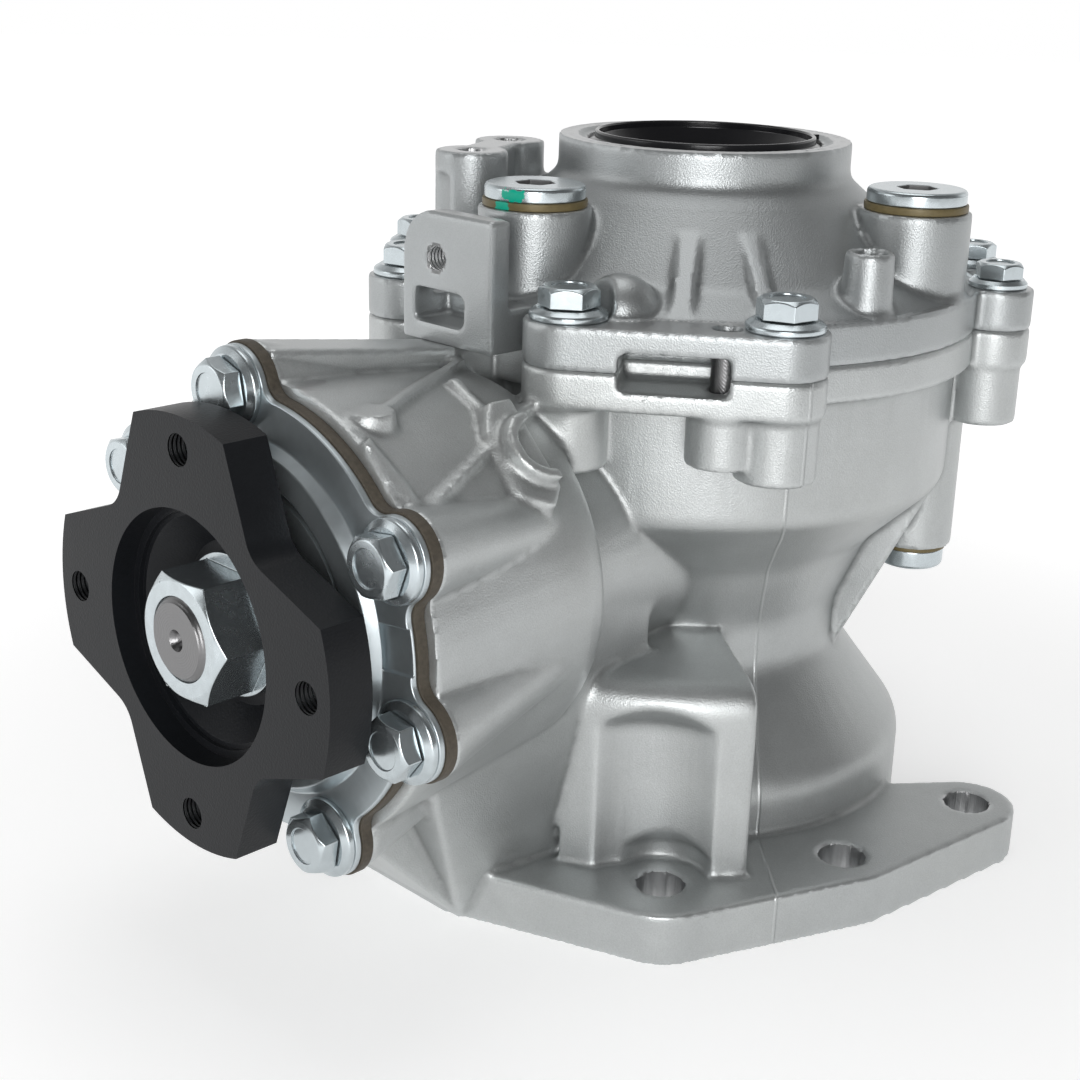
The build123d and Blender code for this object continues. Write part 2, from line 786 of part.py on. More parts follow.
# Pinion carrier: an iron sleeve with a scalloped rim
rim_front = plate_front - plate_thick
head_cup_back = head_bearing_face + head_bearing[2] + 1
tail_cup_back = tail_bearing_face - tail_bearing[2] - 1
with BuildPart() as pinion_carrier:
    extrude(lobed_outline(output_plane(rim_front), 0), amount=rim_thick, dir=(1, 0, 0))
    with BuildSketch(output_profile):
        with BuildLine():
            Polyline(
                (carrier_inner, 0),
                (carrier_inner, head_bore_radius),
                (head_bore_end, head_bore_radius),
                (head_bore_end, carrier_radius),
                (oring_place - oring_width, carrier_radius),
                (oring_place - oring_width, carrier_radius - oring_depth),
                (oring_place, carrier_radius - oring_depth),
                (oring_place, carrier_radius),
                (rim_back, carrier_radius),
                (rim_front, carrier_radius),
                (rim_front, 0),
                close=True,
            )
        make_face()
    revolve(axis=output_axis)
    with BuildSketch(output_profile):
        with BuildLine():
            Polyline(
                (carrier_inner, 0),
                (carrier_inner, head_bearing[1]),
                (head_cup_back, head_bearing[1]),
                (head_cup_back, carrier_throat),
                (tail_cup_back, carrier_throat),
                (tail_cup_back, tail_bearing[1]),
                (output_seal_low, tail_bearing[1]),
                (output_seal_low, output_seal_radius),
                (rim_front, output_seal_radius),
                (rim_front, 0),
                close=True,
            )
        make_face()
    revolve(axis=output_axis, mode=Mode.SUBTRACT)
    for angle in plate_bolt_angles:
        with BuildSketch(output_plane(rim_front)):
            with Locations(polar(plate_bolt_circle, angle)):
                Circle(bolt_m10[0] + 0.3)
        extrude(amount=-rim_thick, mode=Mode.SUBTRACT)
save(pinion_carrier, "pinion_carrier")

with BuildPart() as carrier_seal_ring:
    with BuildSketch(output_profile):
        with Locations((oring_place - oring_width / 2, carrier_radius - oring_depth / 2)):
            oring_section = Rectangle(oring_width, oring_depth)
        chamfer(oring_section.vertices(), 0.7)
    revolve(axis=output_axis)
save(carrier_seal_ring, "carrier_seal_ring")

# Pressed plate over the rim, with a raised ring and a drain channel
with BuildPart() as retainer_plate:
    extrude(lobed_outline(output_plane(plate_front), 0.6), amount=plate_thick, dir=(1, 0, 0))
    with BuildSketch(output_profile):
        with BuildLine():
            Polyline(
                (plate_front - plate_thick, plate_ring_outer),
                (plate_front, plate_ring_outer),
                (plate_front + plate_ring_height, plate_ring_outer - 2.2),
                (plate_front + plate_ring_height, plate_bore + 1.5),
                (plate_front, plate_bore),
                (plate_front - plate_thick, plate_bore),
                close=True,
            )
        make_face()
    revolve(axis=output_axis)
    with BuildSketch(output_plane(plate_front)):
        with Locations(Location((0, 0, 0), (0, 0, channel_angle))):
            with Locations((plate_radius - 6, 0)):
                Rectangle(14, channel_width)
    extrude(amount=-plate_thick / 2, mode=Mode.SUBTRACT)
    with BuildSketch(output_plane(plate_front - plate_thick)):
        Circle(plate_bore)
        for angle in plate_bolt_angles:
            with Locations(polar(plate_bolt_circle, angle)):
                Circle(bolt_m10[0] + 0.3)
    extrude(amount=plate_thick + plate_ring_height, mode=Mode.SUBTRACT)
save(retainer_plate, "retainer_plate")


def flange_bolt(plane, places, sizes, shank):
    """Flange bolts standing on a plane: the plane is the seat and its normal points to the heads."""
    thread, flats, washer, washer_height, head_height = sizes
    with BuildPart() as bolts:
        for place in places:
            with BuildSketch(plane):
                with Locations(place):
                    Circle(washer)
            extrude(amount=washer_height, taper=18)
            with BuildSketch(plane.offset(washer_height)):
                with Locations(place):
                    RegularPolygon(flats / 2, 6, major_radius=False)
            extrude(amount=head_height - washer_height)
            with BuildSketch(plane):
                with Locations(place):
                    Circle(thread)
            extrude(amount=-shank)
    return bolts


plate_bolts = flange_bolt(
    output_plane(plate_front),
    [polar(plate_bolt_circle, angle) for angle in plate_bolt_angles],
    bolt_m10,
    plate_front - rim_back + plate_thread - 2,
)
save(plate_bolts, "plate_bolts")

cover_seat = Plane.XY.offset(joint_height + cover_flange)
cover_bolts = flange_bolt(
    cover_seat,
    [polar(cover_bolt_circle, angle) for angle in cover_bolt_angles],
    bolt_m10,
    cover_flange + joint_thread - 2,
)
save(cover_bolts, "cover_bolts")
rear_cover_bolts = flange_bolt(
    cover_seat,
    [polar(cover_bolt_circle, angle) for angle in small_bolt_angles],
    bolt_m8,
    cover_flange + joint_thread - 2,
)
save(rear_cover_bolts, "rear_cover_bolts")

# Output flange: four arms round a dished centre, on a splined hub
arm_back = output_face - arm_thick
with BuildPart() as output_flange:
    with BuildSketch(output_plane(output_face)) as star:
        with BuildLine():
            corners = []
            for turn in (0, 90, 180, 270):
                corners.append(polar(valley_radius, turn - 45))
                for side in (-1, 1):
                    tip_angle = degrees(atan(side * arm_half_width / (arm_tip_radius + 5)))
                    corners.append(polar(arm_tip_radius + 7, turn + tip_angle))
            Polyline(*corners, close=True)
        make_face()
        fillet(star.vertices().filter_by(lambda corner: sqrt(corner.X**2 + corner.Y**2) < valley_radius + 1), 10)
        Circle(arm_tip_radius, mode=Mode.INTERSECT)
    extrude(amount=-arm_thick)
    with BuildSketch(output_profile):
        with BuildLine():
            back = FilletPolyline(
                (arm_back + 2, valley_radius - 2.5),
                (arm_back, valley_radius - 2.5),
                (arm_back - 5, valley_radius - 5),
                (arm_back - 8, hub_radius + 4),
                (arm_back - 10, hub_radius),
                (tail_bearing_face, hub_radius),
                radius=[0.5, 2, 2, 0.2],
            )
            Polyline(back @ 1, (tail_bearing_face, 0), (arm_back + 2, 0), back @ 0)
        make_face()
    revolve(axis=output_axis)
    # Dished recess for the nut, then the bore
    with BuildSketch(output_profile):
        with BuildLine():
            Polyline(
                (output_face, 0),
                (output_face, recess_radius),
                (output_face - 7, recess_radius),
                (output_face - 7, recess_radius - 2.2),
                (output_face - 8.5, recess_radius - 2.2),
                (output_face - 8.5, recess_radius - 3.5),
                (hub_seat, nut_collar_radius + 3),
                (hub_seat, 0),
                close=True,
            )
        make_face()
    revolve(axis=output_axis, mode=Mode.SUBTRACT)
    with BuildSketch(output_plane(output_face)):
        Circle(hub_bore)
    extrude(amount=-60, mode=Mode.SUBTRACT)
    with BuildSketch(output_plane(output_face)):
        with PolarLocations(flange_bolt_circle / 2, 4):
            Circle(flange_bolt_hole)
    extrude(amount=-arm_thick, mode=Mode.SUBTRACT)
save(output_flange, "output_flange")

with BuildPart() as flange_nut:
    with BuildSketch(output_plane(hub_seat)):
        Circle(nut_collar_radius)
    extrude(amount=nut_collar)
    with BuildSketch(output_plane(hub_seat + nut_collar)):
        RegularPolygon(nut_flats / 2, 6, major_radius=False)
    extrude(amount=nut_end - hub_seat - nut_collar)
    with BuildSketch(output_plane(hub_seat)):
        Circle(thread_radius)
    extrude(amount=nut_end - hub_seat, mode=Mode.SUBTRACT)
save(flange_nut, "flange_nut")

# Dust deflector on the hub, and the output oil seal behind it
with BuildPart() as dust_deflector:
    with BuildSketch(output_profile):
        with BuildLine():
            Polyline(
                (deflector_place, hub_radius),
                (deflector_place, deflector_radius - 1.6),
                (deflector_place - 1.5, deflector_radius - 1.6),
                (deflector_place - 1.5, deflector_radius),
                (deflector_place + 1.5, deflector_radius),
                (deflector_place + 1.5, hub_radius),
                close=True,
            )
        make_face()
    revolve(axis=output_axis)
save(dust_deflector, "dust_deflector")

with BuildPart() as output_seal:
    with BuildSketch(output_profile):
        with BuildLine():
            Polyline(
                (output_seal_low, output_seal_radius),
                (output_seal_low + 10, output_seal_radius),
                (output_seal_low + 10, hub_radius + 6),
                (output_seal_low + 7, hub_radius + seal_gap),
                (output_seal_low + 5, hub_radius + seal_gap),
                (output_seal_low + 3, hub_radius + 3),
                (output_seal_low + 3, output_seal_radius - 4),
                (output_seal_low, output_seal_radius - 4),
                close=True,
            )
        make_face()
    revolve(axis=output_axis)
save(output_seal, "output_seal")


def taper_bearing(name, seat, sizes):
    """Cup, cone and caged rollers. The seat plane lies on the cone's large face and points away from the rollers."""
    bore, cup_radius, width, count = sizes
    profile = Plane(origin=seat.origin, x_dir=seat.x_dir, z_dir=-seat.y_dir)
    axis = Axis(seat.origin, seat.z_dir)
    room = cup_radius - bore
    roller_radius = room * 0.19
    roller_length = width * 0.66 - 1
    pitch = bore + room * 0.53
    lean = roller_lean
    half = roller_length / 2 + 0.5
    middle = -width * 0.5
    slope_in = tan(radians(lean - roller_taper))
    slope_out = tan(radians(lean + roller_taper))
    cone_mid = pitch - roller_radius / cos(radians(lean - roller_taper)) - run_gap
    cup_mid = pitch + roller_radius / cos(radians(lean + roller_taper)) + run_gap
    reach = half + roller_radius * 0.25
    rib = cone_mid + reach * slope_in + roller_radius * 0.9
    with BuildPart() as cone:
        with BuildSketch(profile):
            with BuildLine():
                Polyline(
                    (bore, 0),
                    (rib, 0),
                    (rib, middle + reach + roller_radius * 0.2),
                    (cone_mid + reach * slope_in, middle + reach),
                    (cone_mid - reach * slope_in, middle - reach),
                    (cone_mid - reach * slope_in + roller_radius * 0.4, middle - reach - roller_radius * 0.3),
                    (cone_mid - reach * slope_in + roller_radius * 0.4, -width),
                    (bore, -width),
                    close=True,
                )
            make_face()
        revolve(axis=axis)
    with BuildPart() as cup:
        with BuildSketch(profile):
            with BuildLine():
                Polyline(
                    (cup_radius, middle + half),
                    (cup_mid + half * slope_out, middle + half),
                    (cup_mid - (width / 2 + 1) * slope_out, -width - 1),
                    (cup_radius, -width - 1),
                    close=True,
                )
            make_face()
        revolve(axis=axis)
    spread = roller_length / 2 * tan(radians(roller_taper))
    with BuildPart() as rollers:
        with Locations(seat):
            with PolarLocations(pitch, count):
                with Locations((0, 0, middle)):
                    Cone(roller_radius - spread, roller_radius + spread, roller_length, rotation=(0, lean, 0))
    save(cone, name + "_cone")
    save(cup, name + "_cup")
    save(rollers, name + "_rollers")
    return cone, cup, rollers


head_parts = taper_bearing(
    "head_bearing",
    Plane(origin=(-head_bearing_face, 0, output_height), x_dir=(0, 1, 0), z_dir=(1, 0, 0)),
    head_bearing,
)
tail_parts = taper_bearing("tail_bearing", output_plane(tail_bearing_face), tail_bearing)
lower_parts = taper_bearing("lower_bearing", Plane.XY.offset(lower_bearing_face), shaft_bearing)
upper_parts = taper_bearing(
    "upper_bearing",
    Plane(origin=(0, 0, upper_bearing_face), x_dir=(1, 0, 0), z_dir=(0, 0, -1)),
    shaft_bearing,
)


# Bevel gears: involute-like teeth on the back cone, drawn at both ends of the face and lofted towards the apex


def tooth_outline(plane, size, teeth, cone_angle):
    """One tooth at this size, from the involute of the gear that the back cone unrolls to."""
    pressure = radians(20)
    pitch = tooth_module * teeth / 2 / cos(radians(cone_angle))
    base = pitch * cos(pressure)
    tip = pitch + tooth_addendum
    root = pitch - tooth_dedendum
    half_tooth = (tooth_module * pi / 4 - tooth_backlash / 4) / pitch
    flank = []
    for step in range(flank_steps + 1):
        radius = max(base, root) + (tip - max(base, root)) * step / flank_steps
        angle = acos(base / radius)
        spread = half_tooth + (tan(pressure) - pressure) - (tan(angle) - angle)
        flank.append((radius * sin(spread), radius * cos(spread)))
    foot = (flank[0][0], root - root_bury)
    points = [(x * size, (y - pitch) * size) for x, y in [foot] + flank]
    with BuildSketch(plane) as outline:
        with BuildLine():
            Polyline(*points, *[(-x, y) for x, y in reversed(points)], close=True)
        make_face()
    return outline.sketch


def bevel_gear(teeth, cone_angle, body):
    """Gear with its apex at the origin and its pitch cone opening along +Z; body is the turned blank."""
    angle = radians(cone_angle)
    outward = Vector(sin(angle), 0, cos(angle))
    away = Vector(cos(angle), 0, -sin(angle))
    across = Vector(0, 1, 0)
    with BuildPart() as tooth:
        for distance in (cone_distance, cone_distance - tooth_face):
            plane = Plane(origin=outward * distance, x_dir=across, z_dir=across.cross(away))
            add(tooth_outline(plane, distance / cone_distance, teeth, cone_angle))
        loft(ruled=True)
    with BuildPart() as gear:
        with BuildSketch(Plane.XZ):
            with BuildLine():
                Polyline(*body, close=True)
            make_face()
        revolve(axis=Axis.Z)
        with PolarLocations(0, teeth):
            add(tooth.part)
    return gear.part


def root_point(cone_angle, distance):
    """Point of the root cone at this distance from the apex, as (radius, height)."""
    angle = radians(cone_angle)
    drop = tooth_dedendum * distance / cone_distance
    return (distance * sin(angle) - drop * cos(angle), distance * cos(angle) + drop * sin(angle))


ring_outer = root_point(ring_angle, cone_distance + tooth_land)
ring_inner = root_point(ring_angle, cone_distance - tooth_face - tooth_land)
ring_blank = [
    (ring_register, ring_inner[1] + 3),
    (ring_inner[0] - 3, ring_inner[1] + 3),
    (ring_inner[0] - 3, ring_inner[1]),
    ring_inner,
    ring_outer,
    (ring_outer[0] - 1, ring_seat),
    (ring_register, ring_seat),
]
with BuildPart() as ring_gear:
    with Locations((0, 0, output_height)):
        add(bevel_gear(ring_teeth, ring_angle, ring_blank))
    with BuildSketch(Plane.XY.offset(output_height + ring_seat)):
        with PolarLocations(ring_bolt_circle / 2, ring_bolt_count):
            Circle(bolt_ring[0])
    extrude(amount=-ring_thread, mode=Mode.SUBTRACT)
save(ring_gear, "ring_gear")

# Hollow input shaft with the ring gear's flange
shaft_seat = shaft_bearing[0]
with BuildPart() as input_shaft:
    with BuildSketch(Plane.XZ):
        with BuildLine():
            Polyline(
                (shaft_bore, shaft_bottom + 2),
                (shaft_bore + 2, shaft_bottom),
                (shaft_seat - 1, shaft_bottom),
                (shaft_seat, shaft_bottom + 1),
                (shaft_seat, lower_bearing_face),
                (shaft_body, lower_bearing_face),
                (shaft_body, flange_low - 18),
                (ring_register, flange_low - 12),
                (ring_register, flange_low),
                (ring_flange_radius, flange_low),
                (ring_flange_radius, flange_top),
                (shaft_body + 4, flange_top),
                (shaft_body, flange_top + 4),
                (shaft_body, upper_bearing_face),
                (shaft_seat, upper_bearing_face),
                (shaft_seat, shaft_top - 1),
                (shaft_seat - 1, shaft_top),
                (shaft_bore + 2, shaft_top),
                (shaft_bore, shaft_top - 2),
                close=True,
            )
        make_face()
    revolve(axis=input_axis)
    with BuildSketch(Plane.XY.offset(flange_low)):
        with PolarLocations(ring_bolt_circle / 2, ring_bolt_count):
            Circle(bolt_ring[0] + 0.3)
    extrude(amount=ring_flange_thick, mode=Mode.SUBTRACT)
    # Spline grooves in the upper end of the bore
    with BuildSketch(Plane.XY.offset(shaft_top)):
        with PolarLocations(shaft_bore + spline_depth / 2 - 0.5, input_splines):
            Rectangle(spline_depth + 1, spline_width)
    extrude(amount=-input_spline_length, mode=Mode.SUBTRACT)
save(input_shaft, "input_shaft")

ring_bolts = flange_bolt(
    Plane.XY.offset(flange_top),
    [polar(ring_bolt_circle / 2, 360 / ring_bolt_count * step) for step in range(ring_bolt_count)],
    bolt_ring,
    ring_flange_thick + ring_thread - 2,
)
save(ring_bolts, "ring_gear_bolts")

# Pinion cut on its own stem
pinion_outer = root_point(pinion_angle, cone_distance + tooth_land)
pinion_inner = root_point(pinion_angle, cone_distance - tooth_face - tooth_land)
head_seat, tail_seat = head_bearing[0], tail_bearing[0]
pinion_blank = [
    (0, pinion_inner[1] - 3),
    (pinion_inner[0] - 3, pinion_inner[1] - 3),
    pinion_inner,
    pinion_outer,
    (head_seat + 4, head_bearing_face),
    (head_seat, head_bearing_face),
    (head_seat, head_bearing_face + head_bearing[2] - 2),
    (tail_seat, head_bearing_face + head_bearing[2] - 1),
    (tail_seat, tail_bearing_face),
    (hub_bore, tail_bearing_face),
    (hub_bore, hub_seat - 2),
    (thread_radius, hub_seat - 1),
    (thread_radius, shaft_reach - 1.5),
    (thread_radius - 1.5, shaft_reach),
    (centre_drill, shaft_reach),
    (0, shaft_reach - centre_drill * 1.6),
]
pinion_turn = 180 / pinion_teeth
with BuildPart() as pinion_shaft:
    with Locations(Location((0, 0, output_height), (0, -90, 0))):
        with Locations(Location((0, 0, 0), (0, 0, pinion_turn))):
            add(bevel_gear(pinion_teeth, pinion_angle, pinion_blank))
    with BuildSketch(output_plane(tail_bearing_face)):
        with PolarLocations(hub_bore, output_splines):
            Rectangle(spline_depth * 2, spline_width)
    extrude(amount=hub_seat - tail_bearing_face, mode=Mode.SUBTRACT)
save(pinion_shaft, "pinion_shaft")

with BuildPart() as pinion_spacer:
    with BuildSketch(output_profile):
        with BuildLine():
            Polyline(
                (head_bearing_face + head_bearing[2], tail_seat + part_gap),
                (head_bearing_face + head_bearing[2], tail_seat + spacer_wall),
                (tail_bearing_face - tail_bearing[2], tail_seat + spacer_wall),
                (tail_bearing_face - tail_bearing[2], tail_seat + part_gap),
                close=True,
            )
        make_face()
    revolve(axis=output_axis)
save(pinion_spacer, "pinion_spacer")

# Shim under the lower bearing cup
with BuildPart() as lower_shim:
    with BuildSketch(Plane.XY.offset(lower_cup_seat)):
        Circle(shaft_bearing[1])
        Circle(bell_bore, mode=Mode.SUBTRACT)
    extrude(amount=lower_bearing_face - shaft_bearing[2] - 1 - lower_cup_seat)
save(lower_shim, "lower_shim")

with BuildPart() as lower_seal:
    with BuildSketch(Plane.XZ):
        with BuildLine():
            Polyline(
                (lower_seal_radius, pilot_depth),
                (lower_seal_radius, pilot_depth + lower_seal_depth),
                (shaft_seat + 4, pilot_depth + lower_seal_depth),
                (shaft_seat + 2, pilot_depth + 4),
                (shaft_seat + seal_gap, pilot_depth + 4),
                (shaft_seat + seal_gap, pilot_depth + 3),
                (shaft_seat + 2, pilot_depth),
                close=True,
            )
        make_face()
    revolve(axis=input_axis)
save(lower_seal, "lower_seal")

# Seal in the collar, with its smooth funnel and a proud outer bead
with BuildPart() as collar_seal:
    with BuildSketch(Plane.XZ):
        with BuildLine():
            Polyline(
                (seal_seat, seal_low),
                (seal_seat, collar_top - 2),
                (bead_outer, collar_top - 1),
                (bead_outer, bead_top - 0.4),
                (bead_outer - 0.4, bead_top),
                (bead_inner + 0.4, bead_top),
                (bead_inner, bead_top - 0.4),
                (bead_inner, collar_top - 1),
                (funnel_radius + 1.2, seal_low + 4),
                (funnel_radius, seal_low + 2.5),
                (funnel_radius, seal_low),
                close=True,
            )
        make_face()
    revolve(axis=input_axis)
    with BuildSketch(Plane.XY.offset(collar_top - 1)):
        with Locations(Location((0, 0, 0), (0, 0, bead_tab_angle))):
            with Locations((bead_outer + 1, 0)):
                Rectangle(4, 5)
    extrude(amount=bead_top - collar_top + 0.4)
save(collar_seal, "collar_seal")

# Plugs on their sealing washers


def socket_plug(seat, head, thick, thread, length, socket):
    """Screw plug with a hexagon socket. The seat plane lies under the head and its normal leaves the casting."""
    with BuildPart() as plug:
        with BuildSketch(seat):
            Circle(head)
        extrude(amount=thick)
        chamfer(plug.edges().sort_by(Axis(seat.origin, seat.z_dir))[-1:], 0.8)
        with BuildSketch(seat):
            Circle(thread)
        extrude(amount=-length)
        with BuildSketch(seat.offset(thick)):
            RegularPolygon(socket, 6)
        extrude(amount=-thick - length * 0.4, mode=Mode.SUBTRACT)
    return plug


def sealing_washer(seat, outer, inner, thick):
    """Flat ring lying on the seat plane."""
    with BuildPart() as washer:
        with BuildSketch(seat):
            Circle(outer)
            Circle(inner, mode=Mode.SUBTRACT)
        extrude(amount=thick)
    return washer


for name, place in (("filler", filler_place), ("level", level_place)):
    seat = Plane(origin=(*place, boss_top), x_dir=(1, 0, 0), z_dir=(0, 0, 1))
    washer = sealing_washer(seat, plug_head_radius + 0.6, plug_thread + part_gap, plug_washer)
    save(washer, name + "_washer")
    shank = plug_length + plug_washer
    plug = socket_plug(seat.offset(plug_washer), plug_head_radius, plug_head, plug_thread, shank, plug_socket)
    save(plug, name + "_plug")

seat = Plane(origin=(*drain_place, drain_seat), x_dir=(1, 0, 0), z_dir=(0, 0, -1))
drain_seal = sealing_washer(seat, drain_head_radius + 0.5, drain_thread + part_gap, drain_washer)
save(drain_seal, "drain_washer")
shank = drain_length + drain_washer
drain_plug = socket_plug(
    seat.offset(drain_washer), drain_head_radius, drain_head, drain_thread, shank, drain_socket
)
save(drain_plug, "drain_plug")

with BuildPart() as dowel_pins:
    with BuildSketch(Plane.XY.offset(joint_height - pin_depth)):
        with Locations(*pin_places):
            Circle(pin_radius)
            Circle(pin_radius - 1.5, mode=Mode.SUBTRACT)
    extrude(amount=pin_depth + cover_flange - 3)
save(dowel_pins, "dowel_pins")
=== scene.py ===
"""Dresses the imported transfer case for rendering: castings, fasteners, plugs, seals, flange and stage."""

import json
from math import cos, pi, radians, sin, sqrt

import bmesh
import bpy
import numpy as np
from bpy.props import FloatProperty, FloatVectorProperty, IntProperty, PointerProperty
from mathutils import Matrix, Vector


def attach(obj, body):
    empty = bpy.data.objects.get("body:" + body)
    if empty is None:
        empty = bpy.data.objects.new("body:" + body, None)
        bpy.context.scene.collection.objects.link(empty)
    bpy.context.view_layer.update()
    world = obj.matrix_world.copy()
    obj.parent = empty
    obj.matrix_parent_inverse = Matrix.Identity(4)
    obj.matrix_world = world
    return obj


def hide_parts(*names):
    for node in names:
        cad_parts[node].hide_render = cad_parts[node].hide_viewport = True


bl_info = {
    "name": "Transfer case looks",
    "version": (1, 0, 0),
    "blender": (4, 5, 0),
    "location": "3D View > Sidebar > Transfer case",
    "description": "Builds the visible castings, fasteners and finishes over the packed frame",
    "category": "Object",
}

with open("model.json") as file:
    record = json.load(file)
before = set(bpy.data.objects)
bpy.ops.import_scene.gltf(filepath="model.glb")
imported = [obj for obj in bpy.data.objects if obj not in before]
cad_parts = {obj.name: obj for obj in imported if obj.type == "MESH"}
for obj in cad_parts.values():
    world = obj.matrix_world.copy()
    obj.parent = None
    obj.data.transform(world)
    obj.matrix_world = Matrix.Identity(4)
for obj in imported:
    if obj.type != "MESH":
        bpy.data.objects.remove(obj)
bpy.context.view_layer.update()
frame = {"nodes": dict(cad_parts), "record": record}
nodes = frame["nodes"]

MM = 0.001
AXIS_HEIGHT = 104 * MM
JOINT = 166 * MM
COVER_SEAT = 178 * MM
DOME_SEATS = (202.8 * MM, 214.2 * MM)
STUB_TOP = 195.5 * MM
COLLAR_TOP = 218.6 * MM
PLATE_FRONT = 171 * MM
RIM_BACK = 165.5 * MM
FLANGE_FACE = 195.75 * MM
NUT_END = 197.6 * MM
ARM_THICK = 13 * MM
ARM_HOLE_RADIUS = 4.3 * MM
ARM_HOLE_CIRCLE = 50 * MM
PAINT_ON_PLUG = (-82.6 * MM, -0.7 * MM, 207.0 * MM)
PAINT_ON_WASHER = (-83.9 * MM, 3.0 * MM, 203.9 * MM)
TWIN_HOLES = [Vector((-60.0, 41.0, 0)) * MM, Vector((-31.5, 54.0, 0)) * MM]
STUB_HOLE = Vector((-17.0, -76.0, 0)) * MM
BRACKET_HOLE = Vector((-102.0, 10.0, 190.0)) * MM
THREAD_PITCH = 1.25 * MM

# Bores: centre, radius, axis number, lowest and highest place along the axis
FLANGE_HOLES = [
    (
        Vector((-FLANGE_FACE, ARM_HOLE_CIRCLE * cos(turn), AXIS_HEIGHT + ARM_HOLE_CIRCLE * sin(turn))),
        ARM_HOLE_RADIUS, 0, -0.001, ARM_THICK + 0.001,
    )
    for turn in (0, pi / 2, pi, 3 * pi / 2)
]

# Bolt places: radius in millimetres and angle in degrees
COVER_BOLTS = [(92.4, a) for a in (150, 198, 235, 118, 85, 50)]
SMALL_BOLTS = [(92.4, a) for a in (303, 326, 12)]
PLATE_BOLTS = [(61.0, a) for a in (99, 29.2, -15, -64, -110, -160, 150)]
BASE_HOLES = [
    (102.6, 219.3), (94.4, 254.1), (102.6, 288.6), (102.6, 8), (102.6, 55), (94.4, 100), (102.6, 141)
]


def polar(radius, angle):
    return Vector((radius * MM * cos(radians(angle)), radius * MM * sin(radians(angle)), 0))


# Sizes and colours that a user would change


class CastingLook(bpy.types.PropertyGroup):
    colour: FloatVectorProperty(
        name="Casting colour", description="Base colour of the blasted aluminium", subtype="COLOR",
        default=(0.49, 0.51, 0.516),
    )
    # Darker than the case colour: the cover's own cooler tone, and painted shade for the upper part
    cover_tone_and_shade: FloatVectorProperty(
        name="Cover colour and shade", description="Cooler colour of the blasted cover, darker as painted shade", subtype="COLOR",
        default=(0.40, 0.42, 0.43),
    )
    machined_colour: FloatVectorProperty(
        name="Machined colour", description="Base colour of the cut faces", subtype="COLOR",
        default=(0.54, 0.55, 0.56),
    )
    grain_height: FloatProperty(
        name="Grain height", description="Height of the blasted grain", unit="LENGTH",
        default=0.00008, precision=6,
    )
    voxel: FloatProperty(
        name="Surface step", description="Edge length of the casting surface before it is thinned",
        unit="LENGTH", default=0.00095, precision=5,
    )
    filling: IntProperty(
        name="Filling steps", description="How far inside corners fill up", default=5, min=0, max=20
    )
    soft_steps: IntProperty(
        name="Soft steps", description="How far the large swept forms soften", default=24, min=0, max=90
    )
    rounding: IntProperty(
        name="Rounding steps", description="How far all cast edges soften", default=2, min=0, max=20
    )


class MetalLook(bpy.types.PropertyGroup):
    zinc: FloatVectorProperty(
        name="Zinc", description="Bluish zinc plating", subtype="COLOR", default=(0.53, 0.585, 0.615)
    )
    steel: FloatVectorProperty(
        name="Steel", description="Ground steel", subtype="COLOR", default=(0.20, 0.20, 0.205)
    )
    phosphate: FloatVectorProperty(
        name="Phosphate", description="Black coating of the flange", subtype="COLOR",
        default=(0.009, 0.010, 0.012),
    )
    # Lighter colour of the flange's bevelled edges: painted edge highlight
    painted_edge_highlight: FloatVectorProperty(
        name="Painted edge highlight", description="Lighter phosphate along edges as a painted highlight", subtype="COLOR",
        default=(0.035, 0.036, 0.04),
    )
    iron: FloatVectorProperty(
        name="Iron", description="Brown rim of the carrier", subtype="COLOR", default=(0.085, 0.072, 0.055)
    )
    edge: FloatProperty(
        name="Edge rounding", description="Radius of rounded edges on turned pieces", unit="LENGTH",
        default=0.0005, precision=5,
    )


class SoftLook(bpy.types.PropertyGroup):
    rubber: FloatVectorProperty(
        name="Rubber", description="Black seals", subtype="COLOR", default=(0.012, 0.012, 0.014)
    )
    washer: FloatVectorProperty(
        name="Washer", description="Sealing washers under the plugs", subtype="COLOR",
        default=(0.16, 0.125, 0.055),
    )
    paint_mark: FloatVectorProperty(
        name="Paint mark", description="Dab of inspection paint on a plug", subtype="COLOR",
        default=(0.0, 0.42, 0.28),
    )


class StageLook(bpy.types.PropertyGroup):
    floor: FloatVectorProperty(
        name="Floor", description="Colour of floor and backdrop", subtype="COLOR", default=(0.72, 0.72, 0.72)
    )
    lamp: FloatProperty(
        name="Lamp level", description="Strength of all lamps", default=1.0, min=0.0, max=10.0
    )
    room: FloatProperty(
        name="Room light", description="Soft light from all round", default=0.30, min=0.0, max=2.0
    )
    near_white: FloatProperty(
        name="Near white", description="Backdrop's own white beside the object", default=0.48,
        min=0.0, max=1.0,
    )


# Shader helpers


def new_material(name):
    material = bpy.data.materials.new(name)
    material.use_nodes = True
    tree = material.node_tree
    shader = tree.nodes["Principled BSDF"]
    return material, tree, shader


def link(tree, a, b):
    tree.links.new(a, b)


def add_node(tree, kind, **values):
    node = tree.nodes.new(kind)
    for key, value in values.items():
        setattr(node, key, value)
    return node


def calculate(tree, operation, *inputs, kind="ShaderNodeMath", output=0, **values):
    """A math node fed with numbers or with the outputs of other nodes."""
    node = add_node(tree, kind, operation=operation, **values)
    for socket, value in zip(node.inputs, inputs):
        if isinstance(value, bpy.types.NodeSocket):
            link(tree, value, socket)
        else:
            socket.default_value = value
    return node.outputs[output]


